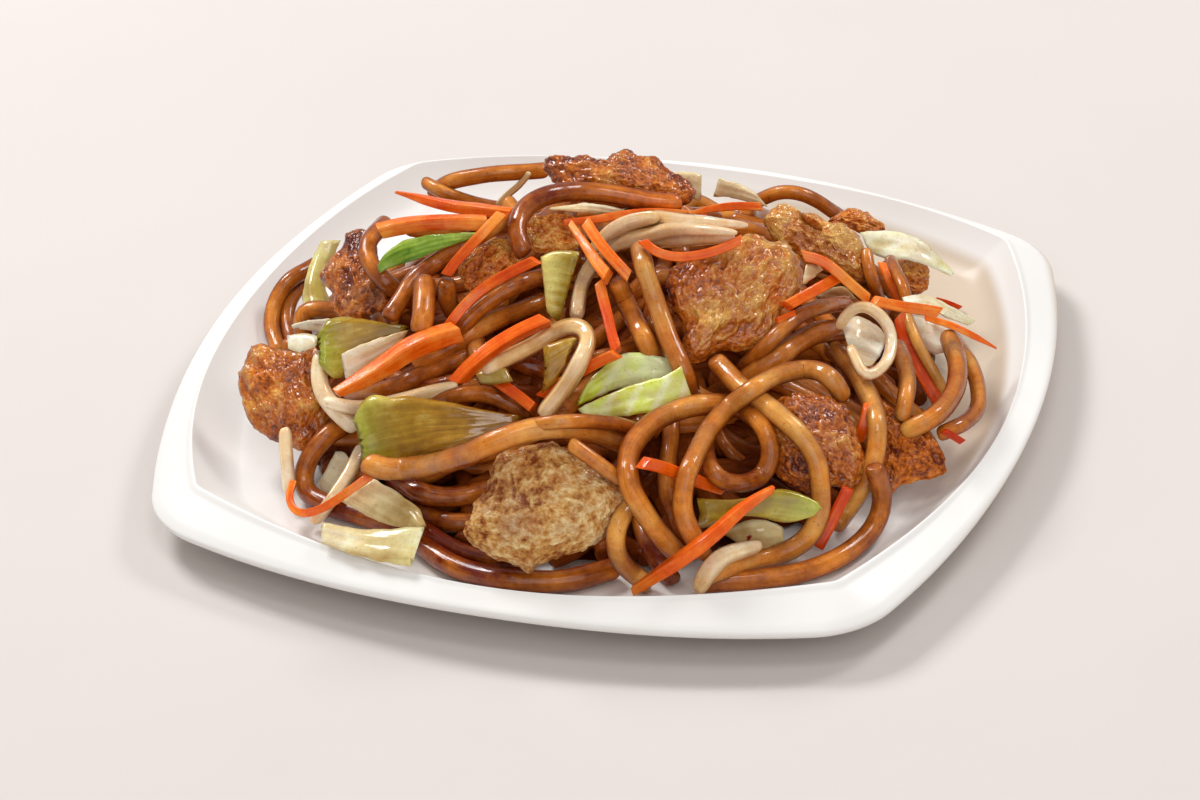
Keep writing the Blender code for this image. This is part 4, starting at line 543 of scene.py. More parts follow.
# ---- settling a piece on what lies below
class Pile:
    """Everything laid so far, kept as balls, so that the next piece rests in front of it."""

    def __init__(self) -> None:
        """Starts with nothing laid."""
        self.centres = np.zeros((0, 3))
        self.radii = np.zeros(0)
        self.fused = np.zeros(0, bool)
        self.held = np.zeros(0, bool)

    def add(self, points: Array, radii: Array | float, fused: bool, held: bool = False) -> None:
        """Adds the balls of a laid piece; `held` ones are joined to the core, if only through others."""
        self.centres = np.vstack((self.centres, points))
        self.radii = np.concatenate((self.radii, np.broadcast_to(radii, len(points))))
        self.fused = np.concatenate((self.fused, np.full(len(points), fused)))
        self.held = np.concatenate((self.held, np.full(len(points), held)))

    def rest(self, sight: Sight, lines: Array, radii: Array | float, fused: bool) -> Laid:
        """Finds how near balls on lines of sight lie when they clear the plate, the core and the pile.

        Args:
            sight: The view that the lines belong to.
            lines: Directions of the lines.
            radii: Radius of each ball.
            fused: Whether the piece may sink into the core and the other fused pieces.

        Returns:
            The least nearness of each ball, and the most, beyond which the plate's wall is in the way.
        """
        radii = np.broadcast_to(radii, len(lines)).astype(float)
        steps = np.arange(FARTHEST, NEAREST, NEARNESS_STEP)
        points = np.moveaxis(sight.eye + (SIGHT_DISTANCE - steps)[None, :, None] * lines[:, None, :], -1, 0)
        over_plate = clearance(plate_top, *points) - radii[:, None] - NODE_GAP
        over_core = clearance(core_top, *points) - radii[:, None] - (-SINK if fused else NODE_GAP)
        first = np.argmax((over_plate > 0.0) & ~sight.is_behind(*points[:2]), axis=1)
        past = np.arange(len(steps))[None, :]
        last_core = np.max(np.where((over_core < 0.0), past, 0), axis=1) + 1
        low = steps[np.minimum(np.maximum(first, last_core), len(steps) - 1)]
        wall = (over_plate < 0.0) & (past > first[:, None])
        high = np.where(wall.any(axis=1), steps[np.argmax(wall, axis=1)] - NEARNESS_STEP, NEAREST)
        if len(self.radii):
            low = np.maximum(low, self.in_front(sight, lines, radii, fused))
        return low, high

    def in_front(self, sight: Sight, lines: Array, radii: Array, fused: bool) -> Array:
        """Least nearness at which each ball is in front of every ball of the pile that it would meet."""
        length = np.linalg.norm(lines, axis=1)
        ray = lines / length[:, None]
        offset = self.centres - sight.eye
        along = offset @ ray.T
        across = np.einsum("ij,ij->i", offset, offset)[:, None] - along ** 2
        gap = np.where(self.fused & fused, -SINK, NODE_GAP)
        contact = self.radii[:, None] + radii[None, :] + gap[:, None]
        meets = across < contact ** 2
        stop = np.where(meets, along - np.sqrt(np.maximum(contact ** 2 - across, 0.0)), np.inf)
        return np.where(meets.any(axis=0), SIGHT_DISTANCE - stop.min(axis=0) / length, FARTHEST)

    def holds(self, points: Array, radii: Array) -> bool:
        """Whether balls press into the core or into a noodle that the core already holds."""
        in_core = clearance(core_top, *points.T) < radii - FOOTING
        return bool(in_core.any() or self.touches(points, radii, self.held, -FOOTING).any())

    def touches(self, points: Array, radii: Array, chosen: Array, gap: float) -> Array:
        """For each ball, whether it is within a gap of any chosen ball of the pile."""
        if not chosen.any():
            return np.zeros(len(points), bool)
        apart = np.linalg.norm(points[:, None, :] - self.centres[chosen][None], axis=2)
        return (apart < radii[:, None] + self.radii[chosen][None] + gap).any(axis=1)

    def with_tail(self, points: Array, radii: Array) -> tuple[Array, Array, bool]:
        """Carries a noodle's end on into the core or a held noodle, past the toppings that lie there.

        Args:
            points: Centre points of the noodle.
            radii: Its radius at each of them.

        Returns:
            The longer noodle's points and radii, and whether a way was found.
        """
        for length, end, target in sorted(self.tail_targets(points), key=lambda choice: choice[0]):
            start, ahead = points[end], points[end] - points[1 if end == 0 else -2]
            share = np.linspace(0.0, 1.0, TAIL_STEPS)[1:, None]
            bend = start + ahead / np.linalg.norm(ahead) * min(TAIL_BEND[0], TAIL_BEND[1] * length)
            tail = (1 - share) ** 2 * start + 2 * share * (1 - share) * bend + share ** 2 * target
            width = np.full(len(tail), radii[end])
            low = clearance(plate_top, *tail.T) < width + NODE_GAP
            if low.any() or self.touches(tail, width, ~self.fused, NODE_GAP).any():
                continue
            if end == 0:
                return np.vstack((tail[::-1], points)), np.concatenate((width, radii)), True
            return np.vstack((points, tail)), np.concatenate((radii, width)), True
        return points, radii, False

    def tail_targets(self, points: Array) -> Iterator[tuple[float, int, Array]]:
        """Places that either end of a noodle could be carried to, as (distance, end, place)."""
        for end in (0, -1):
            start = points[end]
            for turn in np.linspace(0.0, 2 * math.pi, TAIL_TURNS, endpoint=False):
                for reach in TAIL_REACHES:
                    spot = start[:2] + reach * np.array((math.cos(turn), math.sin(turn)))
                    top = float(core_top(spot[:1], spot[1:])[0])
                    if top > FLOOR_HEIGHT:
                        target = np.array((*spot, min(top, start[2]) - TAIL_DEPTH))
                        yield float(np.linalg.norm(target - start)), end, target
            for target in self.centres[self.held]:
                distance = float(np.linalg.norm(target - start))
                if distance < TAIL_REACHES[-1]:
                    yield distance, end, target


def settle(need: Array, rounds: int, most: float) -> Array:
    """Bends a row of nearness values smoothly without going below what each of them needs.

    Args:
        need: The least value at each place.
        rounds: How often each value is moved towards the mean of its neighbours.
        most: The greatest step between neighbours: a lower end is lifted until it keeps to that.

    Returns:
        The bent row.
    """
    near = need.copy()
    for _ in range(rounds):
        near[1:-1] = np.maximum(need[1:-1], (near[:-2] + 2 * near[1:-1] + near[2:]) / 4)
    for row in (near, near[::-1]):
        for index in range(1, len(row)):
            row[index] = max(row[index], row[index - 1] - most)
    return near


def settle_sheet(need: Array, rounds: int) -> Array:
    """Bends a grid of nearness values smoothly in both directions, as settle does a row."""
    near = need.copy()
    for _ in range(rounds):
        padded = np.pad(near, 1, mode="edge")
        mean = (padded[:-2, 1:-1] + padded[2:, 1:-1] + padded[1:-1, :-2] + padded[1:-1, 2:]) / 4
        near = np.maximum(need, (near + mean) / 2)
    return near


def lay_strand(piece: Strand, pile: Pile, sight: Sight) -> Laid:
    """Centre points and radii of a strand along its route, without the tail that holds it in the heap."""
    fused = piece.fused
    pixels = smooth_route(places(piece.route), SAMPLE_PIXELS)
    radii = np.full(len(pixels), 0.5 * PIXEL * piece.width)
    lines = sight.lines(pixels)
    low, high = pile.rest(sight, lines, radii, fused)
    near = settle(low, STIFFNESS[piece.kind], STEEPEST[piece.kind] * SAMPLE_PIXELS * PIXEL)
    near = np.minimum(near, np.maximum(high, low))
    points = sight.point_at(lines, near)
    shown = points, radii
    held = fused and pile.holds(points, radii)
    if piece.kind is NOODLE and not held:
        points, radii, held = pile.with_tail(points, radii)
    if piece.join is not SHOWN:
        pile.add(points, radii, fused, held)
    return shown


def lay_ribbon(piece: Ribbon, pile: Pile, sight: Sight) -> Array:
    """Grid of points of a thin wide piece between its two edges, arched towards the viewer."""
    upper, lower = (smooth_route(places(rail), RAIL_PIXELS) for rail in (piece.upper, piece.lower))
    long_way = max(np.linalg.norm(np.diff(rail, axis=0), axis=1).sum() for rail in (upper, lower))
    wide = np.linalg.norm(upper[len(upper) // 2] - lower[len(lower) // 2])
    count = max(4, round(long_way / RIBBON_PIXELS))
    rows = max(3, round(wide / RIBBON_PIXELS) + 1)
    upper, lower = evenly(upper, 0.0, count), evenly(lower, 0.0, count)
    across = np.linspace(0.0, 1.0, rows)[None, :, None]
    pixels = upper[:, None, :] * (1.0 - across) + lower[:, None, :] * across
    lines = sight.lines(pixels.reshape(-1, 2))
    low, high = pile.rest(sight, lines, piece.thick * RIBBON_REST, piece.fused)
    near = settle_sheet(low.reshape(count, rows), STIFFNESS[piece.kind])
    near = near + piece.arch * (1.0 - (2.0 * across[..., 0] - 1.0) ** 2)
    near = np.minimum(near.ravel(), np.maximum(high, low))
    points = sight.point_at(lines, near)
    if piece.join is not SHOWN:
        pile.add(points, piece.thick * RIBBON_BALL, piece.fused)
    return points.reshape(count, rows, 3)


def lay_chunk(piece: Chunk, pile: Pile, sight: Sight) -> tuple[Array, Array, Array]:
    """Centre, outline and facing of a thick piece, which lies on a plane in front of what is below it."""
    own = places(piece.outline)
    outline = smooth_route(np.vstack((own, own[:1])), OUTLINE_PIXELS)[:-1]
    middle = outline.mean(axis=0)
    pixels = (middle + CHUNK_SHARES[:, None, None] * (outline - middle)[None]).reshape(-1, 2)
    half_depth = np.repeat(piece.depth * thickness_share(CHUNK_SHARES), len(outline))
    lines = sight.lines(pixels)
    low, _ = pile.rest(sight, lines, half_depth, piece.fused)
    centre_line = sight.lines(middle[None])
    start = np.median(low)
    facing = chunk_facing(sight, sight.point_at(centre_line, np.array((start,)))[0], piece.tilt)

    def plane(chosen: Array, nearness: float) -> Laid:
        """The plane's middle, and how near lines of sight meet it, when its middle is at a nearness."""
        anchor = sight.point_at(centre_line, np.array((nearness,)))[0]
        return anchor, SIGHT_DISTANCE - ((anchor - sight.eye) @ facing) / (chosen @ facing)

    for _ in range(CHUNK_ROUNDS):
        start += np.max(low - plane(lines, start)[1])
    anchor, near = plane(lines, start)
    if piece.join is not SHOWN:
        pile.add(sight.point_at(lines, near), half_depth, piece.fused)
    rim_lines = sight.lines(outline)
    return anchor, sight.point_at(rim_lines, plane(rim_lines, start)[1]), facing


def thickness_share(share: Array) -> Array:
    """Share of a chunk's half depth at a share of the way from its middle to its rim."""
    return np.maximum(1.0 - share ** CHUNK_POWERS[0], 0.0) ** CHUNK_POWERS[1]


def chunk_facing(sight: Sight, point: Array, tilt: float) -> Array:
    """Direction a chunk's broad side faces: between the viewer and straight out of the core."""
    x, y = point[0], point[1]
    out = UPWARDS.copy()
    if math.hypot(x, y) < CORE_RADIUS - FACING_MARGIN:
        out[0] = -(core_top(x + FACING_STEP, y) - core_top(x - FACING_STEP, y)) / (2 * FACING_STEP)
        out[1] = -(core_top(x, y + FACING_STEP) - core_top(x, y - FACING_STEP)) / (2 * FACING_STEP)
    out /= np.linalg.norm(out)
    facing = sight.back * (1.0 - tilt) + out * tilt
    return facing / np.linalg.norm(facing)


def wandering_routes(random: np.random.Generator, rows: int, spacing: float) -> Iterator[Array]:
    """Pixel routes of wandering noodles whose starts fill rows of a view, staggered row by row."""
    for row, v in enumerate(np.linspace(*WANDER_V, rows)):
        for u in np.arange(WANDER_U[0] + (row % 2) * spacing / 2, WANDER_U[1], spacing):
            bends = random.uniform(-WANDER_BEND, WANDER_BEND)
            bends = bends + random.uniform(-WANDER_WOBBLE, WANDER_WOBBLE, WANDER_POINTS)
            headings = random.uniform(0.0, 2 * math.pi) + np.cumsum(bends)
            steps = WANDER_STEP * np.column_stack((np.cos(headings), np.sin(headings)))
            route = np.array((u, v)) + np.cumsum(steps, axis=0)
            yield smooth_route(route - route.mean(axis=0) + np.array((u, v)), SAMPLE_PIXELS)


def lay_wandering(pixels: Array, sight: Sight, pile: Pile,
                  fits: Callable[[Array], Array]) -> Iterator[Laid]:
    """Lays the longest run of a wandering noodle that fits; yields its centre points and radii, if any."""
    lines = sight.lines(pixels)
    radii = np.full(len(pixels), 0.5 * PIXEL * WANDER_WIDTH)
    low, _ = pile.rest(sight, lines, radii, True)
    near = settle(low, STIFFNESS[NOODLE], STEEPEST[NOODLE] * SAMPLE_PIXELS * PIXEL)
    points = sight.point_at(lines, near)
    run = longest_run(fits(points) & under_skyline(points))
    points, radii = points[run], radii[run]
    if len(points) * SAMPLE_PIXELS * PIXEL > SHORTEST and pile.holds(points, radii):
        pile.add(points, radii, True, True)
        yield points, radii


def under_skyline(points: Array) -> Array:
    """Whether points stay hidden behind the food in the front view, which rises higher at its middle."""
    front = Sight(SIGHT_YAW, SIGHT_ROLL)
    seen = points - SIGHT_TARGET
    sideways = np.abs(seen @ front.right)
    top = SKYLINE + SKYLINE_RISE * np.exp(-(sideways / SKYLINE_WIDTH) ** 2)
    fall = np.sqrt(1.0 - np.minimum(sideways / SKYLINE_HALF, 1.0) ** SKYLINE_POWER)
    return seen @ front.up < top * fall


def within(top: float, reach: float, start: float) -> Callable[[Array], Array]:
    """A test for points below `top`, within `reach` of the Z axis and `start` behind the centre."""
    behind = np.array((-math.sin(SIGHT_YAW), math.cos(SIGHT_YAW)))
    return lambda points: ((points[:, 2] < top) & (np.hypot(*points[:, :2].T) < reach)
                           & (points[:, :2] @ behind > start))


def under_noodles(pile: Pile) -> Iterator[Laid]:
    """Noodles strewn over the bare core, which the drawn ones lie on."""
    sight = Sight(SIGHT_YAW, 0.0, OVERHEAD)
    for pixels in wandering_routes(np.random.default_rng(SEED), UNDER_ROWS, UNDER_SPACING):
        yield from lay_wandering(pixels, sight, pile, within(UNDER_TOP, UNDER_REACH, ANYWHERE))


def far_noodles(pile: Pile) -> Iterator[Laid]:
    """Noodles strewn over the sides that the front view doesn't show."""
    random = np.random.default_rng(SEED + 1)
    for turn in FAR_TURNS:
        for pixels in wandering_routes(random, FAR_ROWS, FAR_SPACING):
            yield from lay_wandering(pixels, Sight(SIGHT_YAW + turn, 0.0), pile,
                                     within(FAR_TOP, FAR_REACH, FAR_START))


def deep_noodles() -> Iterator[Laid]:
    """Noodles that hug the bare core all round, under everything else."""
    random = np.random.default_rng(SEED + 2)
    views = [Sight(SIGHT_YAW, 0.0, OVERHEAD)]
    views += [Sight(SIGHT_YAW + turn, 0.0, DEEP_ELEVATION) for turn in DEEP_TURNS]
    fits = within(DEEP_TOP, DEEP_REACH, ANYWHERE)
    for sight in views:
        for pixels in wandering_routes(random, DEEP_ROWS, DEEP_SPACING):
            for points, radii in lay_wandering(pixels, sight, Pile(), fits):
                hidden = np.minimum(points[:, 2], core_top(*points[:, :2].T) - DEEP_LOWER)
                points[:, 2] = np.maximum(hidden, plate_top(*points[:, :2].T) + radii + NODE_GAP)
                yield points, radii


def pushed(points: Array, radii: Array, ray: Array, need: Array) -> Array:
    """Points moved along rays by what they need, or by less where the plate is in the way."""
    for _ in range(PUSH_TRIES):
        back = points + ray * need[:, None]
        room = (back[:, 2] - plate_top(*back[:, :2].T)) - radii - NODE_GAP
        need = np.where(room < 0.0, need * PUSH_LESS, need)
    return points + ray * need[:, None]


def dipped(laid: Laid, sight: Sight, name: str = "") -> Laid:
    """Carries a noodle's two ends on a little, and lets them sink away from the viewer into the heap.

    Args:
        laid: Centre points and radii of the noodle.
        sight: The view that it was laid in.
        name: Its name, if it has one, for its row of ENDS and of LIFTS.

    Returns:
        The same with the ends moved, as far as the plate allows.
    """
    points, radii = laid
    reach_start, reach_end, sink_start, sink_end = ENDS.get(name, (1.0, 1.0, 1.0, 1.0))
    lift = LIFTS.get(name, (0.0,))
    towards = np.interp(np.linspace(0.0, 1.0, len(points)), np.linspace(0.0, 1.0, len(lift)), lift)
    points = points - unit(points - sight.eye) * towards[:, None]
    reach = DIP_REACH * np.array(DIP_STEPS)[:, None]
    points = np.vstack((points[0] + reach_start * reach[::-1] * unit(points[0] - points[2]), points,
                        points[-1] + reach_end * reach * unit(points[-1] - points[-3])))
    added = len(DIP_STEPS)
    kept = slice(0 if reach_start else added, None if reach_end else -added)
    points, radii = points[kept], np.pad(radii, added, mode="edge")[kept]
    length = travelled(points)
    fall = [share * (1.0 - np.minimum(way / DIP_LENGTH, 1.0)) ** 2
            for share, way in ((sink_start, length), (sink_end, length[-1] - length))]
    return pushed(points, radii, unit(points - sight.eye), DIP * np.maximum(*fall)), radii


def parted(laid: list[Laid], sight: Sight) -> list[Laid]:
    """Moves crossing noodles apart along the lines of sight, the lower one back into the heap.

    Seen from the topmost noodle down, each ball goes back along its line until it presses into no later
    ball by more than PRESS. The move is smoothed along the noodle, and stops at the plate.

    Args:
        laid: Centre points and radii of the noodles, from the bottom of the heap to the top.
        sight: The view that they were laid in.

    Returns:
        The same with the centre points moved.
    """
    moved = list(laid)
    over, sizes = laid[-1]
    for index in range(len(laid) - 2, -1, -1):
        points, radii = laid[index]
        offset, ahead = points - sight.eye, over - sight.eye
        distance = np.linalg.norm(offset, axis=1)
        ray = offset / distance[:, None]
        along = ahead @ ray.T
        across = np.einsum("ij,ij->i", ahead, ahead)[:, None] - along ** 2
        contact = sizes[:, None] + radii[None, :] - PRESS
        beyond = along + np.sqrt(np.maximum(contact ** 2 - across, 0.0)) - distance[None, :]
        meets = (across < contact ** 2) & (beyond < PART_DEPTH * contact) & (along < distance[None, :])
        need = np.clip(np.where(meets, beyond, 0.0).max(axis=0), 0.0, PART_MOST)
        points = pushed(points, radii, ray, settle(need, PART_ROUNDS, PART_STEP))
        moved[index] = (points, radii)
        over, sizes = np.vstack((over, points)), np.concatenate((sizes, radii))
    return moved


def longest_run(flags: Array) -> slice:
    """Slice of the longest unbroken run of true flags."""
    edges = np.flatnonzero(np.diff(np.concatenate(([0], flags.astype(int), [0]))))
    if not len(edges):
        return slice(0, 0)
    lengths = edges[1::2] - edges[::2]
    best = int(np.argmax(lengths))
    return slice(edges[2 * best], edges[2 * best + 1])


# ---- surfaces
NOISE_PRIMES, NOISE_SEED = (374761393, 668265263, 1442695041), 144665
NOISE_MIX, NOISE_WORD = 1274126177, 0xFFFFFFFF
NOISE_SCALE, ROUGH_SHIFT, CREASE_SHIFT, SEEDS = 1.6, 17.3, 31.7, 9973


def lattice_noise(points: Array, seed: int) -> Array:
    """Smooth noise, about -1 to 1: a blend of the slopes given at random to a unit lattice's corners.

    Each corner of the cell round a point has a random direction. The noise is the corners' dot products
    with the way to the point, blended with the weight 6t^5 - 15t^4 + 10t^3 along each axis.

    Args:
        points: The places, one a row, of any scale.
        seed: Picks one of the patterns.

    Returns:
        The noise at each place.
    """
    cell = np.floor(points).astype(np.int64)
    part = points - cell
    fade = part ** 3 * (part * (part * 6.0 - 15.0) + 10.0)
    total = np.zeros(len(points))
    for corner in np.ndindex(2, 2, 2):
        spot = cell + np.array(corner)
        mixed = (spot @ np.array(NOISE_PRIMES) + seed * NOISE_SEED) & NOISE_WORD
        mixed = ((mixed ^ (mixed >> 13)) * NOISE_MIX) & NOISE_WORD
        mixed ^= mixed >> 16
        turn = (mixed & 0xFFFF) / 65536.0 * 2 * math.pi
        height = (mixed >> 16) / 32768.0 - 1.0
        flat = np.sqrt(np.maximum(1.0 - height ** 2, 0.0))
        slope = np.column_stack((flat * np.cos(turn), flat * np.sin(turn), height))
        weight = np.where(np.array(corner), fade, 1.0 - fade).prod(axis=1)
        total += weight * np.einsum("ij,ij->i", slope, part - np.array(corner))
    return total * NOISE_SCALE


def layered(points: Array, size: float, octaves: int, seed: int, fall: float, shift: float,
            shape: Callable[[Array], Array]) -> Array:
    """Layers of noise, each half the size of the one before and `fall` as strong.

    Args:
        points: The places, in metres.
        size: Size of the largest bumps, in metres.
        octaves: Number of layers.
        seed: Picks one of the patterns.
        fall: Strength of a layer over that of the layer before.
        shift: How far each layer's pattern is moved from the one before.
        shape: What is done to each layer.

    Returns:
        The weighted mean of the layers at each place.
    """
    flat = points.reshape(-1, 3) / size
    total, strength, whole = np.zeros(len(flat)), 1.0, 0.0
    for octave in range(octaves):
        total += strength * shape(lattice_noise(flat * 2.0 ** octave + shift * octave, seed + octave))
        whole += strength
        strength *= fall
    return (total / whole).reshape(points.shape[:-1])


def rough(points: Array, size: float, octaves: int, seed: int, fall: float = 0.5) -> Array:
    """Smooth bumps, about -1 to 1: noise in layers."""
    return layered(points, size, octaves, seed, fall, ROUGH_SHIFT, lambda noise: noise)


def creased(points: Array, size: float, octaves: int, seed: int, fall: float = 0.5) -> Array:
    """Sharp ridges between 0 and 1: one less the absolute noise, squared, in layers."""
    return layered(points, size, octaves, seed, fall, CREASE_SHIFT,
                   lambda noise: (1.0 - np.abs(noise)) ** 2)


@dataclass
class Surface:
    """A closed mesh in arrays: its points, its faces, and what its material reads at each point."""

    points: Array
    faces: list[Array]
    grain: Array
    look: Array

    def outward(self) -> "Surface":
        """The same surface with its faces turned outwards, told from the sign of its volume."""
        volume = 0.0
        for faces in self.faces:
            a, b, c = self.points[faces[:, 0]], self.points[faces[:, 1]], self.points[faces[:, 2]]
            volume += np.einsum("ij,ij->", a, np.cross(b, c))
            if faces.shape[1] == 4:
                volume += np.einsum("ij,ij->", a, np.cross(c, self.points[faces[:, 3]]))
        if volume < 0.0:
            self.faces = [faces[:, ::-1] for faces in self.faces]
        return self

    def to_object(self, name: str, dress: bpy.types.Material) -> bpy.types.Object:
        """A smooth-shaded mesh object with the vector attributes `grain` and `look`."""
        data = bpy.data.meshes.new(name)
        data.from_pydata(self.points.tolist(), [], [row for faces in self.faces for row in faces.tolist()])
        data.polygons.foreach_set("use_smooth", np.ones(len(data.polygons), bool))
        for label, values in (("grain", self.grain), ("look", self.look)):
            layer = data.attributes.new(label, "FLOAT_VECTOR", "POINT")
            layer.data.foreach_set("vector", values.astype(np.float32).ravel())
        data.materials.append(dress)
        data.update()
        thing = bpy.data.objects.new(name, data)
        bpy.context.scene.collection.objects.link(thing)
        return thing


def joined(surfaces: list[Surface]) -> Surface:
    """Several surfaces as one."""
    faces, start = [], 0
    for surface in surfaces:
        faces += [own + start for own in surface.faces]
        start += len(surface.points)
    return Surface(np.vstack([s.points for s in surfaces]), faces, np.vstack([s.grain for s in surfaces]),
                   np.vstack([s.look for s in surfaces]))


def closed_loft(rings: Array, grain: Array | None, look: Array, first: Array | None = None,
                last: Array | None = None) -> Surface:
    """Rings joined to their neighbours, with a fan round one point at each end.

    Args:
        rings: Array of (ring, place on the ring, x y z).
        grain: What the material reads as `grain` at each point, or none for the place itself.
        look: What it reads as `look`, at each point or everywhere.
        first: The point that closes the first ring, or none for the middle of that ring.
        last: The point that closes the last ring, likewise.

    Returns:
        The closed surface, with its faces turned outwards.
    """
    count, around = rings.shape[:2]
    points = np.vstack((rings.reshape(-1, 3), rings[0].mean(axis=0) if first is None else first,
                        rings[-1].mean(axis=0) if last is None else last))
    row = np.arange(count - 1)[:, None] * around
    column = np.arange(around)[None, :]
    after = (column + 1) % around
    quads = np.stack((row + column, row + after, row + around + after, row + around + column), axis=-1)
    column, after = column.ravel(), after.ravel()
    tip = np.full(around, count * around)
    start = np.stack((after, column, tip), axis=-1)
    end = np.stack(((count - 1) * around + column, (count - 1) * around + after, tip + 1), axis=-1)
    return Surface(points, [quads.reshape(-1, 4), np.vstack((start, end))],
                   points if grain is None else grain, np.broadcast_to(look, points.shape)).outward()


def with_ends(values: Array) -> Array:
    """Values of all points of the rings, with the first and last again for the end points."""
    return np.concatenate((values, values[:1], values[-1:]))


def over_rings(values: Array, around: int) -> Array:
    """One value a ring, given to all its places, and to the end points."""
    return with_ends(np.repeat(values, around, axis=0))


def seed_of(name: str) -> int:
    """A number that tells pieces apart, from the letters of a name."""
    return sum((index + 1) * ord(letter) for index, letter in enumerate(name)) % SEEDS


@dataclass(frozen=True)
class Section:
    """Cross-section of a strand, and how its ends and its body vary along its length.

    Attributes:
        around: Points round the section.
        power: 2 for a round section, and more for a square one with rounded corners.
        half: Half width over the strand's radius.
        step: Distance between rings.
        corner: How closely the points crowd at the corners of a square section.
        ridge: Height of the ridges round the section over its radius.
        ridges: Number of those ridges.
        slant: How far an end's cut leans along the strand, over the radius.
        blunt: Share of the width left at the very end.
        rounding: Length of the rounded end over the radius.
        wobble: How much the radius varies.
        drift: How far the centre line strays, in metres.
        wave: Length of those variations, in metres.
    """

    around: int = 18
    power: float = 2.0
    half: float = 1.0
    corner: float = 0.0
    ridge: float = 0.02
    ridges: int = 3
    slant: float = 0.2
    step: float = 0.0010
    blunt: float = 0.62
    rounding: float = 0.75
    wobble: float = 0.05
    drift: float = 0.0002
    wave: float = 0.011


SECTIONS = {
    NOODLE: Section(),
    CARROT: Section(around=24, power=9.0, half=0.86, corner=0.8, ridge=0.0, slant=0.7, blunt=0.93,
                    rounding=0.14, wobble=0.06, drift=0.0001),
    SPROUT: Section(around=20, power=2.3, ridge=0.07, ridges=5, blunt=0.4, rounding=1.4, wobble=0.10,
                    drift=0.00025),
}
DEEP_SECTION = replace(SECTIONS[NOODLE], around=12, step=0.0020)
STREWN_SECTION = replace(SECTIONS[NOODLE], around=14, step=0.0014)
END_RINGS = np.array((0.0, 0.05, 0.15, 0.32, 0.55, 0.8))    # places of the rings in a rounded end
DRIFT_SHIFTS, STRAND_SPREAD, SLANT_TURN, STRAND_GRAIN, TIP = (5.2, 9.1, 13.7), 1.37, 1.7, 0.013, 0.05
ROUTE_ROUNDS, RING_SHARE = 3, 3


@dataclass(frozen=True)
class Look:
    """What sets one piece apart from others of its kind.

    Attributes:
        tone: From -1 for darker to 1 for paler than its kind, evenly spaced along the piece.
        wet: From 0 to 1, how much sauce lies on it.
        tint: Share of the kind's second colour, evenly spaced along the piece.
        widths: Width factors, evenly spaced along the piece.
        roll: Turn of the section at the start and at the end, in radians.
        ruffle: Height of a leaf's waves, in metres.
        flat: Share of a leaf's arch that is left out.
        notch: How far the ribs stand out at the ends, over the kind's own.
        veins: Number of a leaf's veins from end to end.
    """

    tone: tuple[float, ...] = (0.0,)
    wet: float = 0.5
    tint: tuple[float, ...] = (0.0,)
    widths: tuple[float, ...] = (1.0,)
    roll: tuple[float, float] = (0.0, 0.0)
    ruffle: float = 0.0006
    flat: float = 0.4
    notch: float = 1.0
    veins: float = 0.0

    def along(self, row: tuple[float, ...], share: Array) -> Array:
        """An evenly spaced row of values, read at shares of the way along the piece."""
        return np.interp(share, np.linspace(0.0, 1.0, len(row)), row)

    def shade(self, share: Array) -> Array:
        """What the material reads at shares of the way along the piece: tone, wetness and tint."""
        return np.stack([self.along(row, share) for row in (self.tone, (self.wet,), self.tint)], axis=-1)


# How far a noodle's start and end are carried on, and how far they sink into the heap, over the full
# length and depth, where that isn't 1 for all four.
ENDS = {"upright_end": (0.0, 0.0, 0.0, 0.0), "centre_bright": (0.0, 0.5, 0.0, 1.0),
        "hook": (0.0, 0.0, 0.0, 0.0), "over_battered": (0.0, 0.0, 0.0, 0.0),
        "centre_left": (0.0, 1.8, 0.0, 2.0), "ring_right": (0.0, 1.2, 0.0, 0.0),
        "beside_upright": (0.0, 1.0, 0.0, 1.0), "ring_top": (0.0, 1.0, 2.0, 1.0),
        "bottom_right_long": (0.3, 0.0, 0.5, 0.0), "long_wave": (0.0, 1.0, 0.4, 1.0),
        "left_rising": (0.0, 0.5, 0.6, 1.0), "back_loop_far": (0.0, 0.5, 0.5, 1.0),
        "ring_low_left": (0.5, 0.5, 1.0, 1.0), "ring_left": (1.0, 0.3, 1.0, 1.0)}
# How far a noodle is brought towards the viewer over later ones, evenly spaced along it, in metres.
LIFTS = {"upright_end": (0.0105, 0.010, 0.006, 0.002),
         "right_arc": (0.0, 0.0, 0.0, 0.003, 0.007, 0.0065, 0.003)}
# How much paler than its kind a noodle is, where it differs.
TONES = {"far_left_outer": -0.2, "far_left_inner": -0.4, "back_arch": -0.2, "back_loop_far": -0.4,
         "back_loop_near": -0.4, "curl_left": -0.3, "right_edge_outer": 0.3, "right_edge_inner": 0.3,
         "right_short": 0.2, "right_arc": 0.4, "bottom_left_long": -1.0, "left_dark_low": -1.2,
         "left_dark_high": -1.2, "left_dark_behind": -1.3, "over_battered": 0.2, "ring_behind": -0.2,
         "ring_low_inner": -0.9, "ring_low_left": 0.3, "left_tail": -1.1, "left_under_carrot": -0.2,
         "upright_end": -0.3, "left_rising": -0.1, "beside_upright": -0.5, "middle_lower": -0.2,
         "middle_upper": -0.6, "centre_left": -0.2, "short_middle": -0.4,
         "long_wave": 0.4, "bottom_right_long": -0.5, "inner_bit": -0.8, "upper_right_thick": 0.2,
         "inner_curl": -0.3, "ring_right": 0.5, "ring_top": 0.1}
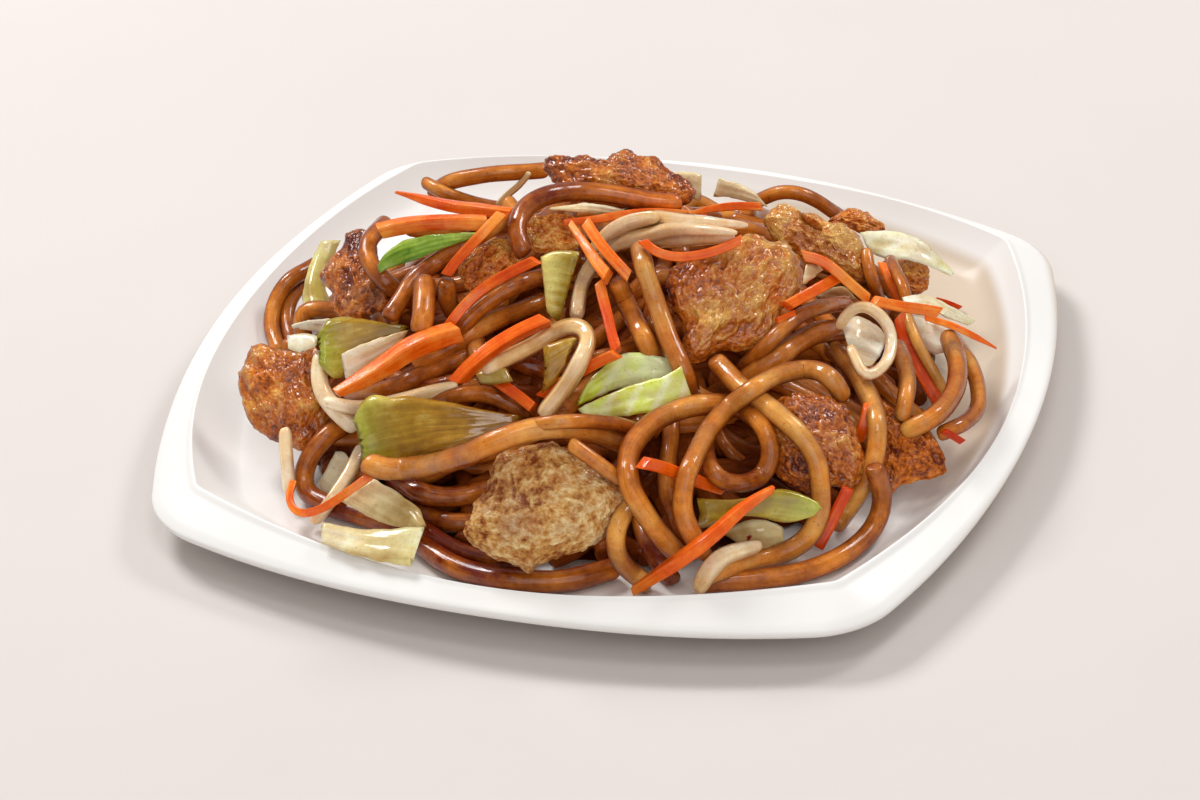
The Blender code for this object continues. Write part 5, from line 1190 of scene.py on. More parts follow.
LOOKS: dict[str, Look] = {
    "carrot_left_big": Look(tone=(-0.2, 0.2, 0.8), widths=(0.5, 0.85, 1.0, 1.12, 1.15, 1.05),
                            roll=(0.75, 0.55)),
    "carrot_left_tip": Look(widths=(0.25, 0.8, 1.0, 1.0, 0.9), roll=(0.3, 0.5)),
    "carrot_left_thick": Look(tone=(0.6, 0.3, 0.5), roll=(0.5, 0.3)),
    "carrot_left_slope": Look(tone=(0.3, -0.4)),
    "carrot_back_long": Look(widths=(0.8, 1.0, 1.0, 0.5)),
    "carrot_back_end": Look(widths=(0.5, 1.0, 1.0)),
    "carrot_right_spike": Look(widths=(1.0, 1.0, 0.9, 0.3)),
    "carrot_front_long": Look(tone=(-0.1,), widths=(0.7, 1.0, 1.05, 0.9, 0.45), roll=(0.2, 0.6)),
    "carrot_fold": Look(tone=(0.2,), widths=(0.8, 0.9, 1.0, 1.0)),
    "carrot_middle_wide": Look(tone=(0.5, 0.0, -0.4), roll=(0.4, 0.6)),
    "carrot_cross_left": Look(tone=(0.8, 0.3, 0.0), widths=(0.6, 1.0, 1.2)),
    "carrot_cross_right": Look(tone=(0.5, 0.1, 0.0)),
    "carrot_red_lower": Look(tone=(-0.3,), tint=(0.6,)),
    "carrot_red_upright": Look(tone=(0.2, -0.3), tint=(0.2, 0.5)),
    "carrot_right_red": Look(tone=(-0.2,), tint=(0.6,)),
    "hook": Look(tone=(-0.6, -0.8, -1.0, -0.8), tint=(0.5, 0.1, 0.1, 0.1), wet=0.8),
    "upper_right_far": Look(tone=(0.3, -0.2, 0.2), wet=1.0),
    # The pale tones of these two glazed noodles partly paint their highlights into the colour.
    "centre_bright": Look(tone=(0.2, 0.6, 0.2, 0.5), wet=1.0),
    "right_glazed": Look(tone=(0.9,), wet=1.0),
    "green_leaf": Look(tone=(0.3, 0.0, 0.1, 0.4), ruffle=0.0008, widths=(0.5, 1.05, 1.0, 1.0)),
    # Its paler tone is partly painted light, for a leaf that the lamps light only dimly.
    "cabbage_bright_back": Look(tone=(-0.6, 0.7, 1.1, 1.1), tint=(1.0, 0.95, 0.9, 0.9), ruffle=0.0004,
                                flat=0.8, veins=3.0),
    "cabbage_bright_front": Look(tone=(0.6,), tint=(0.95, 0.85, 0.75), ruffle=0.0004, flat=0.8, veins=4.0),
    "green_cabbage_leaf": Look(tone=(0.9,), tint=(0.3, 0.15, 0.35), flat=0.8, veins=3.0),
    "cabbage_stalk": Look(tone=(0.3, -0.6, -1.0, -0.4), tint=(0.25, 0.35, 0.3)),
    "cabbage_over_celery": Look(tone=(1.5, 0.8, 0.3), wet=0.8),
    "cabbage_fold_back": Look(tone=(-0.3, -0.9), tint=(0.0, 0.15)),
    "cabbage_fold_front": Look(tone=(0.0, -0.5, 0.1), tint=(0.05, 0.2)),
    "white_cabbage_loop": Look(tone=(1.0,)),
    "white_cabbage_right": Look(tone=(0.8,)),
    "pale_strip_right": Look(tone=(1.0, 0.6), tint=(0.0, 0.2)),
    "pale_cabbage_low": Look(tone=(-0.9, 0.0), tint=(0.1,)),
    "white_bit_high": Look(tone=(0.8,)),
    "white_bit_low": Look(tone=(0.6,), ruffle=0.0002),
    "white_bit_centre": Look(tone=(-1.4,), tint=(0.3,)),
    "sprout_back_high": Look(tone=(1.0, 0.6, 0.3), wet=0.9, widths=(0.5, 1.1, 1.4, 1.4, 1.2)),
    "sprout_back_low": Look(tone=(0.7, 0.6, 0.4, 0.8), wet=0.9, widths=(0.6, 1.2, 1.3, 1.2, 1.05, 1.0)),
    "sprout_back_mid": Look(tone=(1.2, 0.6, 0.3), wet=0.9, widths=(0.5, 1.1, 1.3, 1.4, 0.9)),
    "sprout_back_top": Look(tone=(0.7, 0.5), wet=0.9, widths=(1.0, 1.4, 1.3, 0.9)),
    "sprout_right_loop": Look(tone=(0.3, 0.7), widths=(0.8,), wet=0.9),
    "sprout_front": Look(tone=(0.5, 0.8), widths=(1.1, 1.3, 1.25, 0.9)),
    **dict.fromkeys(("carrot_right_yellow", "sprout_left_cross", "sprout_left_low", "sprout_left_curl",
                     "sprout_left_long"), Look(tone=(0.7,))),
    "chili_bit": Look(tone=(-1.0,), tint=(1.0,)),
    "dark_bit": Look(tone=(-1.5,)),
    "brown_knob": Look(tone=(0.2,)),
    "carrot_sliver": Look(tone=(-0.5,), tint=(0.5,)),
    "carrot_under_edge": Look(tone=(-0.5,), tint=(0.8,)),
    "celery_stub": Look(tone=(2.6, 2.0, 0.4, -0.4), tint=(0.15, 0.3, 0.3), widths=(0.85, 1.0, 1.2),
                        notch=0.0),
    "celery_left": Look(tone=(0.6, -0.1, 0.1), tint=(0.85, 0.15, 0.1, 0.35), widths=(1.3, 1.05, 1.0),
                        flat=0.8),
    "celery_big": Look(tone=(0.6, -0.1, -0.3, -0.5, -1.5), tint=(0.85, 0.15, 0.0, 0.05, 0.0),
                       widths=(2.7, 1.3, 1.0, 1.0, 1.0), flat=0.9),
    "celery_right": Look(tone=(-1.6, -1.0, 0.1, 0.9), tint=(0.3, 0.2, 0.5, 0.9), flat=0.7),
    "chicken_seared": Look(tone=(-0.9, 0.1, 0.4, 0.3), wet=1.0),
    "chicken_left": Look(tone=(-0.1, -0.5, -0.2), wet=1.0),
    "chicken_ring": Look(tone=(-1.0, -0.6, -0.2), wet=0.9),
    "chicken_right_edge": Look(tone=(-0.6, -0.1), wet=0.2),
    "chicken_back": Look(tone=(-1.1, -0.6, -0.9), wet=0.8),
    "chicken_right_back": Look(tone=(0.8, 0.6), wet=1.0, tint=(0.05, 0.2)),
    "chicken_left_back": Look(tone=(-0.9, -0.7), wet=0.8, tint=(0.05, 0.3)),
    "chicken_battered": Look(tone=(-0.3, -0.1), wet=0.2, tint=(0.45,)),
}


def strand_surface(laid: Laid, facing: Array, section: Section, look: Look, seed: int) -> Surface:
    """A strand: a section carried along a centre line, with rounded ends.

    The section is the curve |a|^p + |b|^p = 1 in the plane across the line, with a towards the viewer,
    and its size is the radius times a smooth noise along the strand.

    Args:
        laid: Centre points, and the radius at each of them.
        facing: Direction of the viewer that the section is turned to.
        section: The cross-section.
        look: What sets the piece apart.
        seed: Picks its noise.

    Returns:
        The closed surface.
    """
    rows = np.column_stack(laid)
    for _ in range(ROUTE_ROUNDS):
        rows[1:-1] = (rows[:-2] + 2 * rows[1:-1] + rows[2:]) / 4
    dense = smooth_route(rows, section.step / RING_SHARE)
    length = travelled(dense[:, :3])
    whole, mean = length[-1], float(dense[:, 3].mean())
    rounding = section.rounding * mean
    even = np.linspace(0.0, whole, max(4, round(whole / section.step) + 1))
    even = even[(even > rounding) & (even < whole - rounding)]
    near = rounding * END_RINGS
    at = np.concatenate((near, even, whole - near[::-1]))
    dense = np.column_stack([np.interp(at, length, column) for column in dense.T])
    line, radius = dense[:, :3], dense[:, 3]
    share = at / whole
    spot = np.column_stack((at / section.wave, np.full(len(at), seed * STRAND_SPREAD), np.zeros(len(at))))
    radius = radius * look.along(look.widths, share) * (1.0 + section.wobble * lattice_noise(spot, seed))
    drift = np.column_stack([lattice_noise(spot + shift, seed) for shift in DRIFT_SHIFTS])
    line = line + section.drift * drift
    from_end = np.minimum(at, whole - at)
    ends = 1 - np.clip(from_end / rounding, 0, 1)
    radius = radius * (section.blunt + (1 - section.blunt) * np.sqrt(1 - ends ** 2))
    ahead = unit(np.gradient(line, axis=0))
    front = unit(facing - (ahead @ facing)[:, None] * ahead)
    side = np.cross(ahead, front)
    turn = np.linspace(0.0, 2 * math.pi, section.around, endpoint=False)
    turn = turn + section.corner * np.sin(4 * turn) / 4
    stretch = np.abs(np.cos(turn)) ** section.power + np.abs(np.sin(turn)) ** section.power
    ridges = 1 + section.ridge * np.cos(section.ridges * turn + seed)
    stretch = section.half * stretch ** (-1.0 / section.power) * ridges
    a, b = stretch * np.cos(turn), stretch * np.sin(turn)
    roll = np.interp(share, (0.0, 1.0), look.roll)[:, None]
    forward, sideways = a * np.cos(roll) - b * np.sin(roll), a * np.sin(roll) + b * np.cos(roll)
    rings = (line[:, None, :] + radius[:, None, None]
             * (forward[..., None] * front[:, None, :] + sideways[..., None] * side[:, None, :]))
    cut = section.slant * math.sin(seed * SLANT_TURN) * radius * np.exp(-from_end / mean)
    rings = rings + cut[:, None, None] * sideways[..., None] * ahead[:, None, :]
    begin = seed * STRAND_GRAIN
    grain = np.stack(np.broadcast_arrays(at[:, None], radius[:, None] * a, radius[:, None] * b), axis=-1)
    grain = np.vstack((grain.reshape(-1, 3) + np.array((begin, 0.0, 0.0)), (begin, 0.0, 0.0),
                       (begin + whole, 0.0, 0.0)))
    shade = over_rings(look.shade(share), section.around)
    tips = line[0] - TIP * radius[0] * ahead[0], line[-1] + TIP * radius[-1] * ahead[-1]
    return closed_loft(rings, grain, shade, *tips)


def refined(grid: Array, factor: int) -> Array:
    """A grid of points with `factor` times as many cells each way, on Catmull-Rom curves through it."""
    for axis in (0, 1):
        turned = np.moveaxis(grid, axis, 0)
        padded = np.concatenate((2 * turned[:1] - turned[1:2], turned, 2 * turned[-1:] - turned[-2:-1]))
        at = np.linspace(0.0, len(turned) - 1.0, (len(turned) - 1) * factor + 1)
        cell = np.minimum(at.astype(int), len(turned) - 2)
        curve = between([padded[cell + shift] for shift in range(4)], (at - cell)[:, None, None])
        grid = np.moveaxis(curve, 0, axis)
    return grid


@dataclass(frozen=True)
class Blade:
    """How a leaf or stalk is shaped between its edges.

    Attributes:
        cell: Distance between grid lines, in metres.
        edge: Power of the rounded edge: 2 for a round one, and more for a flat piece.
        ribs: Number of ribs from edge to edge.
        rib: Height of a rib, in metres.
        wave: Length of the ruffles, in metres.
        notch: How far the ribs stand out at the ends, in metres.
        fray: How far the edges and ends stray in the piece's own plane, in metres.
        thin: Thickness shown over the piece's thickness in the part.
    """

    cell: float = 0.0009
    edge: float = 3.0
    ribs: float = 0.0
    rib: float = 0.0
    wave: float = 0.010
    notch: float = 0.0
    fray: float = 0.0006
    thin: float = 0.55


BLADES = {
    CABBAGE: Blade(edge=8.0, ribs=2.6, rib=0.00025, thin=0.45),
    CELERY: Blade(edge=7.0, ribs=7.0, rib=0.0005, wave=0.03, notch=0.0009, fray=0.0003, thin=0.8),
    LEAF: Blade(edge=4.0, ribs=3.0, rib=0.00016, wave=0.008, fray=0.0003),
}
RIM_POWER, NOTCH_POWER, STRAY_SIZE, STRAY_SHIFT, THINNEST = 6, 12, 0.0035, 0.4, 0.00004
RUFFLE_MIDDLE, RUFFLE_EDGE, RUFFLE_POWER = 0.4, 0.9, 1.5
RIB_STRAY, RIB_SIZE, RIB_STRETCH, RIB_WIDTH, RIB_UNDER = 0.4, 0.0012, (0.2, 1, 1), 1.6, 0.6
VEIN, VEIN_LEAN, VEIN_SIZE, VEIN_POWER, VEIN_PALE = 0.00018, 0.45, 0.006, 3, 1.8
SHEET_GRAIN, UNDER_GRAIN = (0.017, 0.0, 0.0), (0.0, 0.0, 0.003)


def ribbon_surface(grid: Array, piece: Ribbon, sight: Sight, blade: Blade, look: Look,
                   seed: int) -> Surface:
    """A thin wide piece: its laid grid refined, ruffled, and given two sides with a rounded edge.

    Each side lies off the middle sheet by half the thickness times (1 - |v|^p)^(1/p) across and the
    same along, and ribs are a cosine across the piece that is added to both sides.

    Args:
        grid: The laid points, along by across.
        piece: The piece.
        sight: The view it was drawn in.
        blade: The kind's shape.
        look: What sets the piece apart.
        seed: Picks its noise.

    Returns:
        The closed surface.
    """
    bow = piece.arch * look.flat * (1.0 - np.linspace(-1.0, 1.0, grid.shape[1]) ** 2)
    grid = grid - bow[None, :, None] * sight.back
    cell = max(np.linalg.norm(np.diff(grid, axis=axis), axis=2).mean() for axis in (0, 1))
    sheet = refined(grid, max(3, round(cell / blade.cell)))
    u = np.linspace(0.0, 1.0, sheet.shape[0])[:, None]
    v = np.linspace(-1.0, 1.0, sheet.shape[1])[None, :]
    end, side = np.abs(2 * u - 1), np.abs(v)
    middle = sheet.mean(axis=1, keepdims=True)
    sheet = middle + (sheet - middle) * look.along(look.widths, u)[..., None]
    along, across = np.gradient(sheet, axis=0), np.gradient(sheet, axis=1)
    normal, along, across = unit(np.cross(along, across)), unit(along), unit(across)
    run, wide = travelled(sheet), travelled(sheet, 1)
    width = wide[:, -1:]
    flat = np.stack((run, wide - width / 2, np.zeros_like(run)), axis=-1)
    inside = 1 - np.maximum(side, end) ** RIM_POWER
    stripes = np.cos(v * blade.ribs * math.pi)
    stray = [rough(flat + shift, STRAY_SIZE, 3, seed)[..., None] for shift in (0.0, STRAY_SHIFT)]
    sheet = sheet + blade.fray * (1 - inside)[..., None] * (stray[0] * along + stray[1] * across)
    sheet = sheet + (look.notch * blade.notch * stripes * end ** NOTCH_POWER)[..., None] * along
    ruffle = (look.ruffle * rough(flat, blade.wave, 2, seed)
              * (RUFFLE_MIDDLE + RUFFLE_EDGE * side ** RUFFLE_POWER))
    rib = blade.rib * (stripes + RIB_STRAY * rough(flat * RIB_STRETCH, RIB_SIZE, 2, seed)) * inside
    rib = rib * np.minimum(width / width.max() * RIB_WIDTH, 1.0) ** 2
    branch = np.cos(2 * math.pi * (look.veins * u + VEIN_LEAN * v) + rough(flat, VEIN_SIZE, 2, seed + 3))
    vein = np.maximum(branch * min(look.veins, 1.0), 0.0) ** VEIN_POWER
    rib = rib + VEIN * vein * inside
    half = ((1 - side ** blade.edge) * (1 - end ** (4 * blade.edge))) ** (1 / blade.edge)
    half = np.maximum(0.5 * (piece.thick * blade.thin) * half, THINNEST)
    top = sheet + normal * (ruffle + half + rib)[..., None]
    bottom = sheet + normal * (ruffle - half + rib * RIB_UNDER)[..., None]
    rings = np.concatenate((top, bottom[:, ::-1]), axis=1)
    grain = np.concatenate((flat, (flat + UNDER_GRAIN)[:, ::-1]), axis=1).reshape(-1, 3)
    grain = with_ends(grain + seed * np.array(SHEET_GRAIN))
    shade = np.repeat(look.shade(u[:, 0])[:, None], rings.shape[1], axis=1)
    shade[..., 0] += VEIN_PALE * np.concatenate((vein, vein[:, ::-1]), axis=1)
    return closed_loft(rings, grain, with_ends(shade.reshape(-1, 3)))


@dataclass(frozen=True)
class Crust:
    """The surface of a piece of chicken.

    Attributes:
        lump: Height of its large lumps, in metres.
        lump_size: Size of those lumps.
        fold: Height of its creases and ridges.
        fold_size: Distance between them.
        crumb: Height of its fine crumbs.
        crumb_size: Size of those crumbs.
        ragged: How far its outline strays.
        fibre: How much longer the creases are along the meat than across it.
    """

    lump: float = 0.0014
    lump_size: float = 0.011
    fold: float = 0.0012
    fold_size: float = 0.0045
    crumb: float = 0.00045
    crumb_size: float = 0.0014
    ragged: float = 0.0012
    fibre: float = 1.8


CRUSTS = {
    "chicken_seared": Crust(fold=0.0018, fold_size=0.0048, crumb=0.00042, fibre=2.4),
    "chicken_left": Crust(lump=0.0022, fold=0.0016, fold_size=0.0062, crumb=0.0003),
    "chicken_battered": Crust(lump=0.0010, fold=0.0006, crumb=0.0007, crumb_size=0.0018),
    "chicken_back": Crust(fold=0.0010, crumb=0.0006, ragged=0.0022),
    "chicken_right_back": Crust(fold=0.0010, crumb=0.0006, crumb_size=0.0017, ragged=0.0016),
    "chicken_ring": Crust(lump=0.0010, fold=0.0009, crumb=0.0006, crumb_size=0.0015, ragged=0.0018),
}
CHUNK_AROUND, CHUNK_FRONT, CHUNK_BACK, CHUNK_CROWD = 200, 64, 18, 0.9
FRONT_DEPTH, BACK_DEPTH = 0.86, 0.7
RAGGED_SIZE, RAGGED_FALL, RAGGED_IN = 0.006, 0.6, 0.25
LUMP_LOWER, FOLD_LOWER, FOLD_SCALE, FOLD_FALL, CRUMB_FALL = 0.3, 0.75, 1.6, 0.55, 0.7
WANE_FROM, WANE_WIDTH, WANE_LEAST = 1.02, 0.25, 0.25


def chunk_surface(piece: Chunk, laid: tuple[Array, Array, Array], crust: Crust, look: Look,
                  right: Array) -> Surface:
    """A piece of meat: its outline drawn in to the middle on both sides, with lumps, creases and crumbs.

    A place at a share s of the way out to the rim is off the piece's plane by its half depth times
    (1 - s^2.6)^0.62. Noise of three sizes then moves it along the surface's own normal.

    Args:
        piece: The piece.
        laid: Its centre, outline and facing.
        crust: What its surface is like.
        look: What sets it apart.
        right: Direction along which its look changes.

    Returns:
        The closed surface.
    """
    anchor, rim, facing = laid
    seed = seed_of(piece.name)
    rim = evenly(np.vstack((rim, rim[:1])), 0.0, CHUNK_AROUND + 1)[:-1]
    ragged = crust.ragged * (rough(rim, RAGGED_SIZE, 3, seed, RAGGED_FALL) + RAGGED_IN)
    rim = rim - unit(rim - anchor) * ragged[:, None]
    front = np.sin(np.linspace(0.0, math.pi / 2, CHUNK_FRONT + 1)[1:]) ** CHUNK_CROWD
    back = np.sin(np.linspace(math.pi / 2, 0.0, CHUNK_BACK + 1)[1:-1]) ** CHUNK_CROWD
    share = np.concatenate((front, back))
    side = np.repeat((1.0, -1.0), (len(front), len(back)))
    depth = piece.depth * thickness_share(share) * side * np.where(side > 0, FRONT_DEPTH, BACK_DEPTH)
    rings = anchor + share[:, None, None] * (rim - anchor)[None] + depth[:, None, None] * facing
    around = np.concatenate((rings[:, -1:], rings, rings[:, :1]), axis=1)
    normal = unit(np.cross(np.gradient(around, axis=1)[:, 1:-1], np.gradient(rings, axis=0)))
    if (normal[0] @ facing).mean() < 0:
        normal = -normal
    longest = unit(rim[np.argmax(np.linalg.norm(rim - anchor, axis=1))] - anchor)
    squeezed = rings - (rings @ longest)[..., None] * longest * (1 - 1 / crust.fibre)
    lumps = crust.lump * (rough(rings, crust.lump_size, 2, seed) - LUMP_LOWER)
    folds = creased(squeezed, crust.fold_size, 3, seed + 5, FOLD_FALL) - FOLD_LOWER
    folds = crust.fold * folds * FOLD_SCALE
    crumbs = crust.crumb * rough(rings, crust.crumb_size, 3, seed + 9, CRUMB_FALL)
    wane = np.clip((WANE_FROM - share) / WANE_WIDTH, WANE_LEAST, 1.0)[:, None]
    moved = rings + normal * ((lumps * wane + folds * wane + crumbs)[..., None])
    grain = np.stack((folds / crust.fold, lumps / crust.lump, crumbs / crust.crumb), axis=-1)
    made = closed_loft(moved, with_ends(grain.reshape(-1, 3)), np.zeros(3))
    reach = made.points @ right
    made.look = look.shade((reach - reach.min()) / np.ptp(reach))
    return made


# ---- materials
Colour = tuple[float, float, float]
Socket = bpy.types.NodeSocket


def linear(red: float, green: float, blue: float) -> tuple[float, float, float, float]:
    """A screen colour of 0 to 255 a channel as the linear colour that shaders take."""
    channels = [value / 255.0 for value in (red, green, blue)]
    return (*(c / 12.92 if c <= 0.04045 else ((c + 0.055) / 1.055) ** 2.4 for c in channels), 1.0)


class Recipe:
    """Nodes of a material or a node group, joined by short calls."""

    def __init__(self, tree: bpy.types.NodeTree) -> None:
        """Takes the tree that the nodes go into."""
        self.tree = tree

    def node(self, kind: str, **settings: object) -> bpy.types.Node:
        """A new node of a kind such as TexNoise, with its settings."""
        made = self.tree.nodes.new(f"ShaderNode{kind}")
        for key, value in settings.items():
            setattr(made, key, value)
        return made

    def feed(self, socket: Socket, value: object) -> None:
        """Gives an input a constant, or the output that it is linked to."""
        if isinstance(value, Socket):
            self.tree.links.new(value, socket)
        else:
            socket.default_value = value

    def fill(self, made: bpy.types.Node, inputs: dict[int | str, object]) -> bpy.types.Node:
        """A node, after its inputs are given by their names or numbers."""
        for key, value in inputs.items():
            self.feed(made.inputs[key], value)
        return made

    def math(self, operation: str, *values: Socket | float) -> Socket:
        """The result of a calculation with values."""
        return self.fill(self.node("Math", operation=operation), dict(enumerate(values))).outputs[0]

    def vector_math(self, operation: str, *vectors: Socket | Colour) -> bpy.types.Node:
        """A node that calculates with vectors."""
        return self.fill(self.node("VectorMath", operation=operation), dict(enumerate(vectors)))

    def attribute(self, name: str) -> Socket:
        """A vector attribute of the mesh."""
        return self.node("Attribute", attribute_name=name).outputs["Vector"]

    def place(self) -> Socket:
        """Object coordinates, in metres."""
        return self.node("TexCoord").outputs["Object"]

    def parts(self, vector: Socket) -> tuple[Socket, Socket, Socket]:
        """The three parts of a vector."""
        return tuple(self.fill(self.node("SeparateXYZ"), {0: vector}).outputs)

    def noise(self, vector: Socket, scale: float, detail: float = 3.0, roughness: float = 0.55) -> Socket:
        """Noise between 0 and 1."""
        return self.fill(self.node("TexNoise"), {"Vector": vector, "Scale": scale, "Detail": detail,
                                                 "Roughness": roughness}).outputs["Fac"]

    def cells(self, vector: Socket, scale: float) -> Socket:
        """Distance to the nearest of scattered points."""
        return self.fill(self.node("TexVoronoi"), {"Vector": vector, "Scale": scale}).outputs["Distance"]

    def spread(self, value: Socket, low: float, high: float, to_low: float = 0.0,
               to_high: float = 1.0) -> Socket:
        """A value's range made another, without going past its ends."""
        made = self.node("MapRange", interpolation_type="SMOOTHSTEP")
        return self.fill(made, dict(enumerate((value, low, high, to_low, to_high)))).outputs[0]

    def sum(self, *terms: tuple[Socket, float] | float) -> Socket:
        """A weighted sum: (value, weight) pairs and plain numbers."""
        total = 0.0
        for term in terms:
            value, weight = term if isinstance(term, tuple) else (term, 1.0)
            total = self.math("MULTIPLY_ADD", value, weight, total)
        return total

    def times(self, first: Socket | float, second: Socket | float) -> Socket:
        """The product of two values."""
        return self.math("MULTIPLY", first, second)

    def mix(self, share: Socket | float, low: object, high: object) -> Socket:
        """A colour between two."""
        return self.fill(self.node("Mix", data_type="RGBA"), {"Factor": share, 6: low, 7: high}).outputs[2]

    def ramp(self, value: Socket, places: tuple[float, ...], *colours: tuple) -> Socket:
        """A colour that goes through colours at places."""
        made = self.fill(self.node("ValToRGB"), {0: value})
        row = made.color_ramp.elements
        while len(row) < len(colours):
            row.new(0.5)
        for element, place, colour in zip(row, places, colours):
            element.position, element.color = place, colour
        return made.outputs[0]

    def bump(self, height: Socket, distance: float) -> Socket:
        """A normal bent by a height between 0 and 1 that stands for `distance` metres."""
        return self.fill(self.node("Bump"), {"Distance": distance, "Height": height}).outputs[0]

    def use(self, group: bpy.types.NodeTree, **values: object) -> bpy.types.Node:
        """A shader node group placed in this tree with its own values."""
        made = self.node("Group", node_tree=group)
        return self.fill(made, {key.capitalize(): value for key, value in values.items()})


def new_material(name: str, values: dict[str, object]) -> tuple[bpy.types.Material, Recipe, bpy.types.Node]:
    """A material whose shader has the given values, a recipe for its nodes, and the shader."""
    made = bpy.data.materials.new(name)
    made.use_nodes = True
    recipe = Recipe(made.node_tree)
    return made, recipe, recipe.fill(made.node_tree.nodes["Principled BSDF"], values)


def new_group(name: str, inputs: dict[str, tuple[str, object]],
              outputs: tuple[str, ...]) -> tuple[Recipe, dict[str, Socket], bpy.types.Node]:
    """An empty shader node group with named sockets.

    Args:
        name: Its name.
        inputs: Socket name to its type and default.
        outputs: Names of the values it puts out.

    Returns:
        A recipe for its nodes, its inputs by name, and its output node.
    """
    tree = bpy.data.node_groups.new(name, "ShaderNodeTree")
    for label, (kind, default) in inputs.items():
        socket = tree.interface.new_socket(label, in_out="INPUT", socket_type=f"NodeSocket{kind}")
        if kind == "Float":
            socket.default_value = default
    for label in outputs:
        tree.interface.new_socket(label, in_out="OUTPUT", socket_type="NodeSocketFloat")
    entry, leave = tree.nodes.new("NodeGroupInput"), tree.nodes.new("NodeGroupOutput")
    return Recipe(tree), {label: entry.outputs[label] for label in inputs}, leave


def fibre_group() -> bpy.types.NodeTree:
    """Fine lines along a piece: noise on the straightened piece, squeezed along its length."""
    recipe, given, leave = new_group("fibre_lines", {
        "Vector": ("Vector", None), "Density": ("Float", 900.0), "Length": ("Float", 0.05)}, ("Lines",))
    x, y, z = recipe.parts(given["Vector"])
    made = recipe.node("CombineXYZ")
    recipe.fill(made, {0: recipe.times(x, given["Length"]), 1: y, 2: z})
    noise = recipe.fill(recipe.node("TexNoise"), {"Vector": made.outputs[0], "Scale": given["Density"],
                                                  "Detail": 2.5})
    recipe.fill(leave, {"Lines": noise.outputs["Fac"]})
    return recipe.tree


def sauce_group() -> bpy.types.NodeTree:
    """Thin sauce that has run together in patches, with small specks in it."""
    recipe, given, leave = new_group("sauce_film", {
        "Vector": ("Vector", None), "Wet": ("Float", 0.5)}, ("Patches", "Specks"))
    patches = recipe.noise(given["Vector"], 95.0, 4.0, 0.6)
    level = recipe.sum((patches, 1.0), (given["Wet"], 0.25))
    recipe.fill(leave, {"Patches": recipe.spread(level, 0.5, 0.78),
                        "Specks": recipe.spread(recipe.noise(given["Vector"], 1500.0, 1.0), 0.64, 0.72)})
    return recipe.tree


SCATTER = (1.0, 0.45, 0.2)     # how far red, green and blue light go inside food, over its reach
STRAND_STOPS, CRUST_STOPS = (0.18, 0.5, 0.86), (0.15, 0.5, 0.9)
SECOND_DARK, FILM_RELIEF = 0.45, 0.55
# Where sauce lies under the heap, where the food's colour is painted round it as reflected light, and where
# the heap's shadow is painted on the floor: distances from the middle, and for the shadow a direction and
# heights.
POOL, FOOD_REFLECTION_RING, HEAP_SHADOW = (0.086, 0.074), (0.104, 0.094), (0.045, 0.085)
HEAP_SHADOW_WAY, HEAP_SHADOW_HEIGHTS, POOL_STRAY = (0.80, 0.60, 0.0), (0.0135, 0.0105), 0.012


